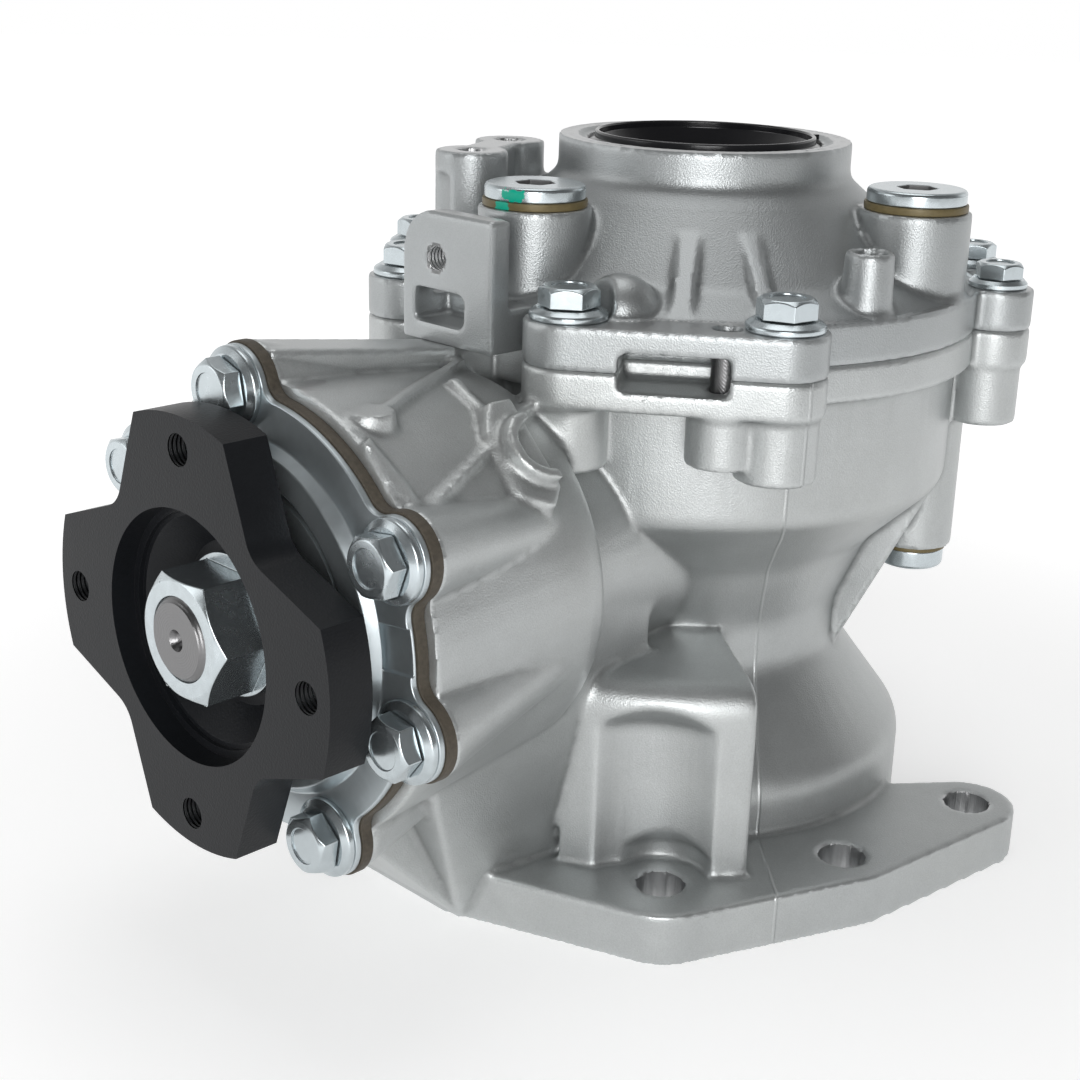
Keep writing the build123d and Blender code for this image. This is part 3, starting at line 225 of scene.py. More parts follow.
def new_group(title, inputs, outputs):
    """A node group with its sockets. Gives the tree, its source node and its result node."""
    tree = bpy.data.node_groups.new(title, "ShaderNodeTree")
    for way, sockets in (("INPUT", inputs), ("OUTPUT", outputs)):
        for name, kind in sockets.items():
            tree.interface.new_socket(name, in_out=way, socket_type="NodeSocket" + kind)
    return tree, add_node(tree, "NodeGroupInput"), add_node(tree, "NodeGroupOutput")


def object_place(tree):
    """Object coordinates, so that a texture stays with its piece."""
    return add_node(tree, "ShaderNodeTexCoord").outputs["Object"]


def add_noise(tree, place, scale, kind="ShaderNodeTexNoise", **values):
    """A noise or cell texture; its scale is a number or the output of another node."""
    node = add_node(tree, kind)
    link(tree, place, node.inputs["Vector"])
    if isinstance(scale, bpy.types.NodeSocket):
        link(tree, scale, node.inputs["Scale"])
    else:
        node.inputs["Scale"].default_value = scale
    for key, value in values.items():
        node.inputs[key].default_value = value
    return node


def group_grain():
    """Blasted grain: blotches for the colour and a fine height for the bump."""
    tree, source, result = new_group(
        "Blasted grain",
        {"Colour": "Color", "Contrast": "Float", "Grain size": "Float", "Roughness": "Float"},
        {"Colour": "Color", "Roughness": "Float", "Height": "Float"},
    )
    place = object_place(tree)
    size = source.outputs["Grain size"]
    blotch = add_noise(tree, place, 38, Detail=5, Roughness=0.6)
    fine = add_noise(tree, place, size, Detail=2)
    grit = add_noise(tree, place, size, kind="ShaderNodeTexVoronoi")
    height = calculate(tree, "MULTIPLY_ADD", fine.outputs["Fac"], 0.7, grit.outputs["Distance"])
    shift = calculate(tree, "SUBTRACT", blotch.outputs["Fac"], 0.5)
    speck = calculate(tree, "SUBTRACT", fine.outputs["Fac"], 0.5)
    total = calculate(tree, "MULTIPLY_ADD", speck, 0.8, shift)
    amount = calculate(tree, "MULTIPLY_ADD", total, source.outputs["Contrast"], 1.0)
    tint = add_node(tree, "ShaderNodeMix", data_type="RGBA", blend_type="MULTIPLY")
    tint.inputs["Factor"].default_value = 1.0
    link(tree, source.outputs["Colour"], tint.inputs["A"])
    link(tree, amount, tint.inputs["B"])
    warm = add_noise(tree, place, 17)
    warm_mix = add_node(tree, "ShaderNodeMix", data_type="RGBA", blend_type="MULTIPLY")
    link(tree, warm.outputs["Fac"], warm_mix.inputs["Factor"])
    link(tree, tint.outputs["Result"], warm_mix.inputs["A"])
    warm_mix.inputs["B"].default_value = (1.0, 0.99, 0.965, 1)
    rough = calculate(tree, "MULTIPLY_ADD", total, 0.12, source.outputs["Roughness"])
    link(tree, warm_mix.outputs["Result"], result.inputs["Colour"])
    link(tree, rough, result.inputs["Roughness"])
    link(tree, height, result.inputs["Height"])
    return tree


def group_turning():
    """Turning marks: rings round an axis through a point, as a height."""
    tree, source, result = new_group(
        "Turning marks", {"Centre": "Vector", "Keep": "Vector", "Pitch": "Float"}, {"Height": "Float"}
    )
    place = object_place(tree)
    away = calculate(tree, "SUBTRACT", place, source.outputs["Centre"], kind="ShaderNodeVectorMath")
    flat = calculate(tree, "MULTIPLY", away, source.outputs["Keep"], kind="ShaderNodeVectorMath")
    length = calculate(tree, "LENGTH", flat, kind="ShaderNodeVectorMath", output="Value")
    turns = calculate(tree, "MULTIPLY", length, source.outputs["Pitch"])
    link(tree, calculate(tree, "SINE", turns), result.inputs["Height"])
    return tree


def group_paint():
    """Dab of paint: a ragged spot round a centre."""
    tree, source, result = new_group(
        "Paint dab", {"Centre": "Vector", "Stretch": "Vector"}, {"Mask": "Float"}
    )
    place = object_place(tree)
    away = calculate(tree, "SUBTRACT", place, source.outputs["Centre"], kind="ShaderNodeVectorMath")
    sized = calculate(tree, "MULTIPLY", away, source.outputs["Stretch"], kind="ShaderNodeVectorMath")
    length = calculate(tree, "LENGTH", sized, kind="ShaderNodeVectorMath", output="Value")
    ragged = add_noise(tree, place, 520)
    reach = calculate(tree, "MULTIPLY_ADD", ragged.outputs["Fac"], 1.5, length)
    mask = add_node(tree, "ShaderNodeMapRange")
    mask.inputs["From Min"].default_value = 1.75
    mask.inputs["From Max"].default_value = 1.65
    link(tree, reach, mask.inputs["Value"])
    link(tree, mask.outputs["Result"], result.inputs["Mask"])
    return tree


def group_flash():
    """Flash line: a thin ridge where a plane cuts the casting."""
    tree, source, result = new_group(
        "Flash line", {"Across": "Vector", "Offset": "Float", "Width": "Float"}, {"Height": "Float"}
    )
    place = object_place(tree)
    along = calculate(
        tree, "DOT_PRODUCT", place, source.outputs["Across"], kind="ShaderNodeVectorMath", output="Value"
    )
    wander = add_noise(tree, place, 60)
    shaken = calculate(tree, "MULTIPLY_ADD", wander.outputs["Fac"], 0.0009, along)
    side = calculate(tree, "ABSOLUTE", calculate(tree, "SUBTRACT", shaken, source.outputs["Offset"]))
    ridge = add_node(tree, "ShaderNodeMapRange", interpolation_type="SMOOTHSTEP")
    link(tree, side, ridge.inputs["Value"])
    link(tree, source.outputs["Width"], ridge.inputs["From Max"])
    ridge.inputs["To Min"].default_value = 1.0
    ridge.inputs["To Max"].default_value = 0.0
    link(tree, ridge.outputs["Result"], result.inputs["Height"])
    return tree


def group_crease_shade_and_highlight():
    """Painted crease shade: darker in hollows where shade falls, and a painted highlight a little lighter
    along edges.
    """
    tree, source, result = new_group(
        "Painted crease shade and edge highlight", {"Colour": "Color", "Hollow": "Float", "Edge": "Float"}, {"Colour": "Color"}
    )
    shape = add_node(tree, "ShaderNodeNewGeometry")
    hollow = add_node(tree, "ShaderNodeMapRange")
    hollow.inputs["From Min"].default_value = 0.465
    hollow.inputs["From Max"].default_value = 0.5
    hollow.inputs["To Max"].default_value = 1.0
    link(tree, shape.outputs["Pointiness"], hollow.inputs["Value"])
    link(tree, source.outputs["Hollow"], hollow.inputs["To Min"])
    edge = add_node(tree, "ShaderNodeMapRange")
    edge.inputs["From Min"].default_value = 0.5
    edge.inputs["From Max"].default_value = 0.54
    edge.inputs["To Min"].default_value = 1.0
    link(tree, shape.outputs["Pointiness"], edge.inputs["Value"])
    link(tree, source.outputs["Edge"], edge.inputs["To Max"])
    both = calculate(tree, "MULTIPLY", hollow.outputs["Result"], edge.outputs["Result"])
    shade = add_node(tree, "ShaderNodeMix", data_type="RGBA", blend_type="MULTIPLY")
    shade.inputs["Factor"].default_value = 1.0
    link(tree, source.outputs["Colour"], shade.inputs["A"])
    link(tree, both, shade.inputs["B"])
    link(tree, shade.outputs["Result"], result.inputs["Colour"])
    return tree


def group_thread():
    """Thread: ridges along an axis."""
    tree, source, result = new_group("Thread ridges", {"Along": "Vector"}, {"Height": "Float"})
    place = object_place(tree)
    along = calculate(
        tree, "DOT_PRODUCT", place, source.outputs["Along"], kind="ShaderNodeVectorMath", output="Value"
    )
    link(tree, calculate(tree, "SINE", along), result.inputs["Height"])
    return tree


def shared_group(name, builder):
    return bpy.data.node_groups.get(name) or builder()


def grained_material(name, colour, metallic, roughness, contrast, grain, height, gloss=0.5):
    """Metal or rubber with the blasted grain group."""
    material, tree, shader = new_material(name)
    grain_group = shared_group("Blasted grain", group_grain)
    grain_node = add_node(tree, "ShaderNodeGroup", node_tree=grain_group)
    grain_node.inputs["Colour"].default_value = (*colour, 1)
    grain_node.inputs["Contrast"].default_value = contrast
    grain_node.inputs["Grain size"].default_value = grain
    grain_node.inputs["Roughness"].default_value = roughness
    bump = add_node(tree, "ShaderNodeBump")
    bump.inputs["Strength"].default_value = 0.6
    bump.inputs["Distance"].default_value = height
    link(tree, grain_node.outputs["Height"], bump.inputs["Height"])
    link(tree, grain_node.outputs["Colour"], shader.inputs["Base Color"])
    link(tree, grain_node.outputs["Roughness"], shader.inputs["Roughness"])
    link(tree, bump.outputs["Normal"], shader.inputs["Normal"])
    shader.inputs["Metallic"].default_value = metallic
    shader.inputs["Specular IOR Level"].default_value = gloss
    return material


def turned_material(name, colour, centre, keep, pitch, roughness, height, contrast=0.12):
    """Cut metal with turning rings over a faint grain."""
    material = grained_material(name, colour, 1.0, roughness, contrast, 900, height)
    tree = material.node_tree
    bump = next(n for n in tree.nodes if n.type == "BUMP")
    rings = add_node(tree, "ShaderNodeGroup", node_tree=shared_group("Turning marks", group_turning))
    rings.inputs["Centre"].default_value = centre
    rings.inputs["Keep"].default_value = keep
    rings.inputs["Pitch"].default_value = pitch
    ring_bump = add_node(tree, "ShaderNodeBump")
    ring_bump.inputs["Strength"].default_value = 0.35
    ring_bump.inputs["Distance"].default_value = height
    link(tree, rings.outputs["Height"], ring_bump.inputs["Height"])
    link(tree, bump.outputs["Normal"], ring_bump.inputs["Normal"])
    shader = tree.nodes["Principled BSDF"]
    link(tree, ring_bump.outputs["Normal"], shader.inputs["Normal"])
    return material


def add_bump(material, group, strength, depth):
    """Adds the height of a group on top of the material's own bump."""
    tree = material.node_tree
    shader = tree.nodes["Principled BSDF"]
    bump = add_node(tree, "ShaderNodeBump")
    bump.inputs["Strength"].default_value = strength
    bump.inputs["Distance"].default_value = depth
    link(tree, group.outputs["Height"], bump.inputs["Height"])
    link(tree, shader.inputs["Normal"].links[0].from_socket, bump.inputs["Normal"])
    link(tree, bump.outputs["Normal"], shader.inputs["Normal"])
    return material


def crease_shade_and_highlight_material(material, hollow, edge):
    """Cast skin with painted shade in its hollows and a painted highlight along its edges."""
    tree = material.node_tree
    shader = tree.nodes["Principled BSDF"]
    crease = add_node(tree, "ShaderNodeGroup", node_tree=shared_group("Painted crease shade and edge highlight", group_crease_shade_and_highlight))
    crease.inputs["Hollow"].default_value = hollow
    crease.inputs["Edge"].default_value = edge
    link(tree, shader.inputs["Base Color"].links[0].from_socket, crease.inputs["Colour"])
    link(tree, crease.outputs["Colour"], shader.inputs["Base Color"])
    return material


def flashed_material(material, across, offset):
    """Cast skin with the ridge of the mould's parting plane."""
    flash_group = shared_group("Flash line", group_flash)
    flash = add_node(material.node_tree, "ShaderNodeGroup", node_tree=flash_group)
    flash.inputs["Across"].default_value = across
    flash.inputs["Offset"].default_value = offset
    flash.inputs["Width"].default_value = 0.0007
    return add_bump(material, flash, 0.7, 0.00035)


def threaded_material(name, colour, metallic, along):
    """Tapped hole with its ridges along an axis."""
    material = grained_material(name, colour, metallic, 0.4, 0.2, 900, 0.00003)
    thread_group = shared_group("Thread ridges", group_thread)
    thread = add_node(material.node_tree, "ShaderNodeGroup", node_tree=thread_group)
    thread.inputs["Along"].default_value = Vector(along) * (2 * pi / THREAD_PITCH)
    return add_bump(material, thread, 1.0, 0.0006)


def dabbed_material(material, colour, centre, stretch):
    """A finish with a dab of inspection paint."""
    tree = material.node_tree
    shader = tree.nodes["Principled BSDF"]
    dab = add_node(tree, "ShaderNodeGroup", node_tree=shared_group("Paint dab", group_paint))
    dab.inputs["Centre"].default_value = centre
    dab.inputs["Stretch"].default_value = stretch
    tint = add_node(tree, "ShaderNodeMix", data_type="RGBA")
    link(tree, dab.outputs["Mask"], tint.inputs["Factor"])
    link(tree, shader.inputs["Base Color"].links[0].from_socket, tint.inputs["A"])
    tint.inputs["B"].default_value = (*colour, 1)
    link(tree, tint.outputs["Result"], shader.inputs["Base Color"])
    metallic = shader.inputs["Metallic"]
    level = metallic.default_value
    bare = calculate(tree, "MULTIPLY_ADD", dab.outputs["Mask"], -level, level, use_clamp=True)
    link(tree, bare, metallic)
    return material


finishes = {}


def make_finishes():
    """All materials of the part, by the record's slot names and a few of their own."""
    scene = bpy.context.scene
    casting, metal, soft = scene.casting_look, scene.metal_look, scene.soft_look
    # Each grained finish: colour, metallic, roughness, contrast, grain size and grain height
    finishes["cast_case"] = grained_material(
        "Cast aluminium", casting.colour, 0.80, 0.42, 0.36, 2100, casting.grain_height
    )
    flashed_material(finishes["cast_case"], (0.737, -0.676, 0), 0.0187)
    # Painted shade in the case's hollows and painted highlight along its edges
    crease_shade_and_highlight_material(finishes["cast_case"], 0.6, 1.12)
    # The cover is darker as painted shade on the upper part, besides its own cooler tone
    finishes["cast_cover"] = grained_material(
        "Cast cover", casting.cover_tone_and_shade, 0.80, 0.40, 0.30, 2100, casting.grain_height
    )
    # Painted shade in the cover's hollows and painted highlight along its edges
    crease_shade_and_highlight_material(finishes["cast_cover"], 0.62, 1.12)
    finishes["machined"] = turned_material(
        "Machined aluminium", casting.machined_colour, (0, 0, 0), (1, 1, 0), 9000, 0.33, 0.00004
    )
    finishes["zinc"] = grained_material("Zinc plating", metal.zinc, 0.92, 0.25, 0.30, 420, 0.00003)
    finishes["zinc_sheet"] = grained_material("Zinc plated sheet", metal.zinc, 0.85, 0.34, 0.16, 420, 0.00002)
    finishes["dabbed_zinc"] = dabbed_material(
        grained_material("Zinc with a paint dab", metal.zinc, 0.92, 0.25, 0.30, 420, 0.00003),
        soft.paint_mark, PAINT_ON_PLUG, (480, 240, 480),
    )
    finishes["dabbed_washer"] = dabbed_material(
        grained_material("Washer with a paint dab", soft.washer, 0.2, 0.45, 0.4, 700, 0.00006),
        soft.paint_mark, PAINT_ON_WASHER, (500, 380, 300),
    )
    finishes["tapped_bracket"] = threaded_material("Tapped bracket", casting.machined_colour, 0.8, (1, 0, 0))
    finishes["tapped_flange"] = threaded_material("Tapped flange", metal.phosphate, 0.2, (1, 0, 0))
    finishes["steel"] = turned_material(
        "Turned steel", metal.steel, (0, 0, AXIS_HEIGHT), (0, 1, 1), 9000, 0.30, 0.00004
    )
    finishes["bearing"] = grained_material("Bearing steel", metal.steel, 1.0, 0.22, 0.08, 700, 0.00002)
    finishes["phosphate"] = grained_material(
        "Black phosphate", metal.phosphate, 0.0, 0.38, 0.35, 1500, 0.00005, 0.20
    )
    # Lighter finish on the flange's bevel faces: painted edge highlight
    finishes["phosphate_edge"] = grained_material(
        "Phosphate with painted edge highlight", metal.painted_edge_highlight, 0.2, 0.38, 1.2, 700, 0.00004
    )
    # Darker steel inside the plug sockets: painted shade
    finishes["socket"] = grained_material("Painted socket shade", metal.steel, 0.6, 0.5, 0.5, 500, 0.00004)
    finishes["iron"] = grained_material("Brown iron", metal.iron, 0.2, 0.6, 1.1, 900, 0.00012)
    finishes["seal_washer"] = grained_material("Sealing washer", soft.washer, 0.2, 0.45, 0.4, 700, 0.00006)
    finishes["black_rubber"] = grained_material("Black rubber", soft.rubber, 0.0, 0.18, 0.15, 600, 0.00001)
    return finishes


# Mesh helpers


def deselect():
    if bpy.context.mode != "OBJECT":
        bpy.ops.object.mode_set(mode="OBJECT")
    bpy.ops.object.select_all(action="DESELECT")


def activate(piece):
    deselect()
    bpy.context.view_layer.objects.active = piece
    piece.select_set(True)


def merged_copy(names, title):
    """A merged copy of CAD nodes as one new mesh object."""
    deselect()
    copies = []
    for name in names:
        copy = nodes[name].copy()
        copy.data = nodes[name].data.copy()
        copy.parent = None
        copy.hide_render = False
        copy.hide_viewport = False
        for key in list(copy.keys()):
            del copy[key]
        copy.data.materials.clear()
        bpy.context.scene.collection.objects.link(copy)
        copies.append(copy)
    for copy in copies:
        copy.select_set(True)
    bpy.context.view_layer.objects.active = copies[0]
    if len(copies) > 1:
        bpy.ops.object.join()
    piece = bpy.context.view_layer.objects.active
    piece.name = title
    piece.data.name = title
    if piece.data.has_custom_normals:
        bpy.ops.mesh.customdata_custom_splitnormals_clear()
    bpy.ops.object.mode_set(mode="EDIT")
    bpy.ops.mesh.select_all(action="SELECT")
    bpy.ops.mesh.remove_doubles(threshold=2e-6)
    bpy.ops.object.mode_set(mode="OBJECT")
    return piece


def apply_modifier(piece, kind, **values):
    activate(piece)
    modifier = piece.modifiers.new(kind.title(), kind)
    for key, value in values.items():
        setattr(modifier, key, value)
    bpy.ops.object.modifier_apply(modifier=modifier.name)


def merge_flats(piece, angle=0.6):
    """Joins triangles that lie in one plane."""
    activate(piece)
    bpy.ops.object.mode_set(mode="EDIT")
    bpy.ops.mesh.select_all(action="SELECT")
    bpy.ops.mesh.dissolve_limited(angle_limit=radians(angle), delimit={"NORMAL"})
    bpy.ops.object.mode_set(mode="OBJECT")


def finish_piece(piece, material, body, replaced=(), angle=32, weighted=True):
    activate(piece)
    bpy.ops.object.shade_smooth_by_angle(angle=radians(angle))
    if weighted:
        apply_modifier(piece, "WEIGHTED_NORMAL", keep_sharp=True, weight=50)
    if material is not None:
        piece.data.materials.clear()
        piece.data.materials.append(material)
    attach(piece, body)
    if replaced:
        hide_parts(*replaced)
    return piece


def edged_copy(names, title, width, material, body, angle=30, segments=2, edge_material=None):
    """A CAD piece with its sharp edges rounded, and those edges in their own finish where one is given."""
    piece = merged_copy(names, title)
    merge_flats(piece)
    piece.data.materials.append(material)
    piece.data.materials.append(edge_material or material)
    apply_modifier(
        piece, "BEVEL", width=width, segments=segments, limit_method="ANGLE", angle_limit=radians(angle),
        use_clamp_overlap=True, harden_normals=False, miter_outer="MITER_ARC",
        material=1 if edge_material else -1,
    )
    return finish_piece(piece, None, body, names)


# Castings


NEAR = 0.35 * MM
# Depth of an inside corner that fills up, as a share of the surface step
HOLLOW_SHARE = 0.085
# Most triangles of each casting
CASE_LIMIT, COVER_LIMIT = 190000, 150000


def near_plane(point, plane):
    """Whether a point lies on a cut face: axis number, place along it, least and greatest radius."""
    axis, value, low, high = plane
    return abs(point[axis] - value) < NEAR and low <= sqrt(point[0] ** 2 + point[1] ** 2) <= high


def near_bore(point, bore, reach=NEAR):
    """Whether a point lies on a bore's wall."""
    centre, radius, axis, low, high = bore
    away = point - centre
    along = away[axis]
    away[axis] = 0
    return low <= along <= high and abs(away.length - radius) < reach


def snap_bores(piece, bores, members):
    """Puts the vertices of turned and bored faces back on their exact radius."""
    for index in members:
        vertex = piece.data.vertices[index]
        for bore in bores:
            if near_bore(vertex.co, bore, 1.2 * MM):
                centre, radius, axis = bore[:3]
                away = vertex.co - centre
                along = away[axis]
                away[axis] = 0
                away = away.normalized() * radius
                away[axis] = along
                vertex.co = centre + away
                break


def hollow_vertices(piece, depth):
    """Vertices whose neighbours lie further out: the casting's inside corners."""
    mesh = piece.data
    count, pairs = len(mesh.vertices), len(mesh.edges)
    spots, normals = np.empty(count * 3), np.empty(count * 3)
    ends = np.empty(pairs * 2, dtype=np.int64)
    mesh.vertices.foreach_get("co", spots)
    mesh.vertices.foreach_get("normal", normals)
    mesh.edges.foreach_get("vertices", ends)
    spots, normals, ends = spots.reshape(-1, 3), normals.reshape(-1, 3), ends.reshape(-1, 2)
    near = np.zeros((count, 3))
    for one, other in ((0, 1), (1, 0)):
        for axis in range(3):
            near[:, axis] += np.bincount(ends[:, one], spots[ends[:, other], axis], count)
    number = np.maximum(np.bincount(ends.ravel(), minlength=count), 1)
    rise = ((near / number[:, None] - spots) * normals).sum(axis=1)
    return np.flatnonzero(rise > depth)


def softness(point, centre, radius, strength):
    """How far a vertex takes part in the softening round a centre: full inside, fading at the rim."""
    return strength * min(1.0, max(0.0, 3 * (1 - (point - centre).length / radius)))


def rounded_casting(name, title, planes, bores, soft_spots, limit):
    """The casting with the fillets of a cast skin and its cut faces kept true."""
    look = bpy.context.scene.casting_look
    piece = merged_copy([name], title)
    voxel = look.voxel * 1.0
    apply_modifier(piece, "REMESH", mode="VOXEL", voxel_size=voxel, adaptivity=0.0)
    kinds = {"skin": [], "flat_x": [], "flat_z": [], "bored": []}
    soft = []
    for vertex in piece.data.vertices:
        point = vertex.co
        plane = next((p for p in planes if near_plane(point, p)), None)
        if any(near_bore(point, bore) for bore in bores):
            kinds["bored"].append(vertex.index)
        elif plane is not None:
            kinds["flat_z" if plane[0] == 2 else "flat_x"].append(vertex.index)
        else:
            kinds["skin"].append(vertex.index)
            share = max((softness(point, *spot) for spot in soft_spots), default=0.0)
            if share > 0.01:
                soft.append((vertex.index, share))
    for group, members in kinds.items():
        piece.vertex_groups.new(name=group).add(members, 1.0, "REPLACE")
    skin = np.array(kinds["skin"])
    # Inside corners fill up first, then every cast edge softens
    for _ in range(int(look.filling)):
        hollow = np.intersect1d(hollow_vertices(piece, voxel * HOLLOW_SHARE), skin, assume_unique=True)
        corners = piece.vertex_groups.new(name="corners")
        corners.add(hollow.tolist(), 1.0, "REPLACE")
        apply_modifier(piece, "SMOOTH", factor=0.5, iterations=3, vertex_group="corners")
        piece.vertex_groups.remove(piece.vertex_groups["corners"])
    if soft:
        swept = piece.vertex_groups.new(name="soft")
        for index, share in soft:
            swept.add([index], share, "REPLACE")
        apply_modifier(piece, "SMOOTH", factor=0.5, iterations=int(look.soft_steps), vertex_group="soft")
    for _ in range(int(look.rounding)):
        apply_modifier(piece, "SMOOTH", factor=0.5, iterations=2, vertex_group="skin")
        apply_modifier(piece, "SMOOTH", factor=0.5, iterations=4, vertex_group="flat_z", use_z=False)
        apply_modifier(piece, "SMOOTH", factor=0.5, iterations=4, vertex_group="flat_x", use_x=False)
        apply_modifier(piece, "SMOOTH", factor=0.5, iterations=3, vertex_group="bored")
    snap_bores(piece, bores, kinds["bored"])
    lowest = min(vertex.co.z for vertex in nodes[name].data.vertices)
    for vertex in piece.data.vertices:
        vertex.co.z = max(vertex.co.z, lowest)
    count = len(piece.data.polygons) * 2
    if count > limit:
        apply_modifier(piece, "DECIMATE", decimate_type="COLLAPSE", ratio=limit / count)
    piece.vertex_groups.clear()
    return piece


def mark_cut_faces(piece, planes, bores, material, tapped=()):
    """Gives cut faces and bores their own finish, and tapped holes their thread."""
    materials = piece.data.materials
    materials.append(material)
    for _, finish in tapped:
        materials.append(finish)
    for face in piece.data.polygons:
        centre = Vector(face.center)
        for number, (bore, _) in enumerate(tapped):
            if near_bore(centre, bore, 0.9 * MM):
                face.material_index = 2 + number
        if face.material_index:
            continue
        flat = any(near_plane(centre, plane) and abs(face.normal[plane[0]]) > 0.96 for plane in planes)
        if flat or any(near_bore(centre, bore, 0.5 * MM) for bore in bores):
            face.material_index = 1


class PIECE_OT_main_case(bpy.types.Operator):
    """Cast main case with rounded skin and cut faces"""

    bl_idname = "transfer.main_case"
    bl_label = "Main case"

    def execute(self, context):
        planes = [(2, 0.0, 0, 1), (2, JOINT, 0, 1), (0, -RIM_BACK, 0, 1)]
        bores = [(polar(r, a), 7.1 * MM, 2, -0.001, 0.017) for r, a in BASE_HOLES]
        # Centre, radius and strength: the pinch of snout and neck, then the ribs by the clip boss
        soft_spots = [
            (polar(84, 217) + Vector((0, 0, 78 * MM)), 36 * MM, 1.0),
            (Vector((-107.0, -38.0, 136.0)) * MM, 31 * MM, 0.42),
        ]
        piece = rounded_casting("main_case", "Main_case_casting", planes, bores, soft_spots, CASE_LIMIT)
        finish_piece(
            piece, finishes["cast_case"], "housing", ["main_case"], 40, weighted=False
        )
        mark_cut_faces(piece, planes[:2], bores, finishes["machined"])
        return {"FINISHED"}


class PIECE_OT_case_cover(bpy.types.Operator):
    """Cast cover with its collar, bosses and seats"""

    bl_idname = "transfer.case_cover"
    bl_label = "Cover"

    def execute(self, context):
        axis = Vector((0, 0, 0))
        planes = [
            (2, JOINT, 0, 1), (2, COVER_SEAT, 0.079, 1), (2, DOME_SEATS[0], 0, 1),
            (2, DOME_SEATS[1], 0, 1), (2, COLLAR_TOP, 0, 1), (2, STUB_TOP, 0.07, 0.09),
        ]
        bores = [(axis, 36 * MM, 2, 0.205, 0.219)]
        bores += [(place, 4.25 * MM, 2, 0.193, 0.215) for place in TWIN_HOLES]
        stub_bore = [(STUB_HOLE, 4.8 * MM, 2, 0.182, 0.196)]
        bracket_bore = (BRACKET_HOLE, 3.4 * MM, 0, -0.001, 0.016)
        walls = bores + stub_bore + [bracket_bore]
        piece = rounded_casting("case_cover", "Cover_casting", planes, walls, [], COVER_LIMIT)
        finish_piece(
            piece, finishes["cast_cover"], "housing", ["case_cover"], 40, weighted=False
        )
        tapped = [(bracket_bore, finishes["tapped_bracket"])]
        mark_cut_faces(piece, planes, bores, finishes["machined"], tapped)
        return {"FINISHED"}


# Fasteners


DISH_DEPTH = 0.5 * MM
DISH_CUTTER = 1.6 * MM


def flange_bolt(title, flats, washer, washer_height, head_height):
    """One flange bolt head about the origin, its seat at z = 0."""
    foot = washer_height * 0.4
    deselect()
    bpy.ops.mesh.primitive_cylinder_add(vertices=6, radius=flats / sqrt(3), depth=head_height - foot)
    head = bpy.context.active_object
    head.name = title
    head.data.transform(Matrix.Translation((0, 0, (head_height + foot) / 2)))
    # Chamfer of the hexagon's corners
    slope = head_height * 0.62
    bpy.ops.mesh.primitive_cone_add(
        vertices=96, radius1=flats / 2 * 1.9, radius2=flats / 2 * 0.93, depth=slope
    )
    cone = bpy.context.active_object
    cone.data.transform(Matrix.Translation((0, 0, head_height - slope / 2)))
    apply_modifier(head, "BOOLEAN", operation="INTERSECT", object=cone, solver="EXACT")
    bpy.data.objects.remove(cone)
    # Round dish in the head's top
    deselect()
    bpy.ops.mesh.primitive_cylinder_add(vertices=48, radius=flats * 0.33, depth=DISH_CUTTER)
    dish = bpy.context.active_object
    dish.data.transform(Matrix.Translation((0, 0, head_height - DISH_DEPTH + DISH_CUTTER / 2)))
    apply_modifier(head, "BOOLEAN", operation="DIFFERENCE", object=dish, solver="EXACT")
    bpy.data.objects.remove(dish)
    # Washer face with a sloping top
    deselect()
    bpy.ops.mesh.primitive_cylinder_add(vertices=72, radius=washer, depth=washer_height)
    disc = bpy.context.active_object
    disc.data.transform(Matrix.Translation((0, 0, washer_height / 2)))
    activate(disc)
    bpy.ops.object.mode_set(mode="EDIT")
    mesh = bmesh.from_edit_mesh(disc.data)
    bpy.ops.mesh.select_all(action="DESELECT")
    top = max(mesh.faces, key=lambda f: f.calc_center_median().z)
    top.select_set(True)
    bmesh.update_edit_mesh(disc.data)
    bpy.ops.mesh.inset(thickness=washer - flats * 0.60)
    bpy.ops.transform.translate(value=(0, 0, washer_height * 0.7))
    bpy.ops.object.mode_set(mode="OBJECT")
    apply_modifier(
        disc, "BEVEL", width=washer_height * 0.28, segments=3, limit_method="ANGLE", angle_limit=radians(50)
    )
    merge_flats(head, 0.2)
    apply_modifier(head, "BEVEL", width=0.00022, segments=2, limit_method="ANGLE", angle_limit=radians(28))
    activate(head)
    disc.select_set(True)
    bpy.ops.object.join()
    return head


def place_copies(pattern, title, matrices):
    """Copies of a pattern at each matrix, as one mesh."""
    copies = []
    for matrix in matrices:
        copy = pattern.copy()
        copy.data = pattern.data.copy()
        copy.data.transform(matrix)
        bpy.context.scene.collection.objects.link(copy)
        copies.append(copy)
    bpy.data.objects.remove(pattern)
    deselect()
    for copy in copies:
        copy.select_set(True)
    bpy.context.view_layer.objects.active = copies[0]
    bpy.ops.object.join()
    piece = bpy.context.active_object
    piece.name = title
    return piece


def upright_head(place, turn):
    """Matrix of a bolt head that stands on the cover, from its radius and angle."""
    spot = polar(*place)
    return Matrix.Translation((spot.x, spot.y, COVER_SEAT)) @ Matrix.Rotation(radians(turn), 4, "Z")


def sideways(radius, angle, distance, turn):
    """Matrix of a piece that stands on the output side: local x is -Y and local y is +Z."""
    local = polar(radius, angle)
    spot = Vector((-distance, -local.x, AXIS_HEIGHT + local.y))
    basis = Matrix(((0, 0, -1, 0), (-1, 0, 0, 0), (0, 1, 0, 0), (0, 0, 0, 1)))
    return Matrix.Translation(spot) @ basis @ Matrix.Rotation(radians(turn), 4, "Z")


def plate_head(place, turn):
    return sideways(*place, PLATE_FRONT, turn)


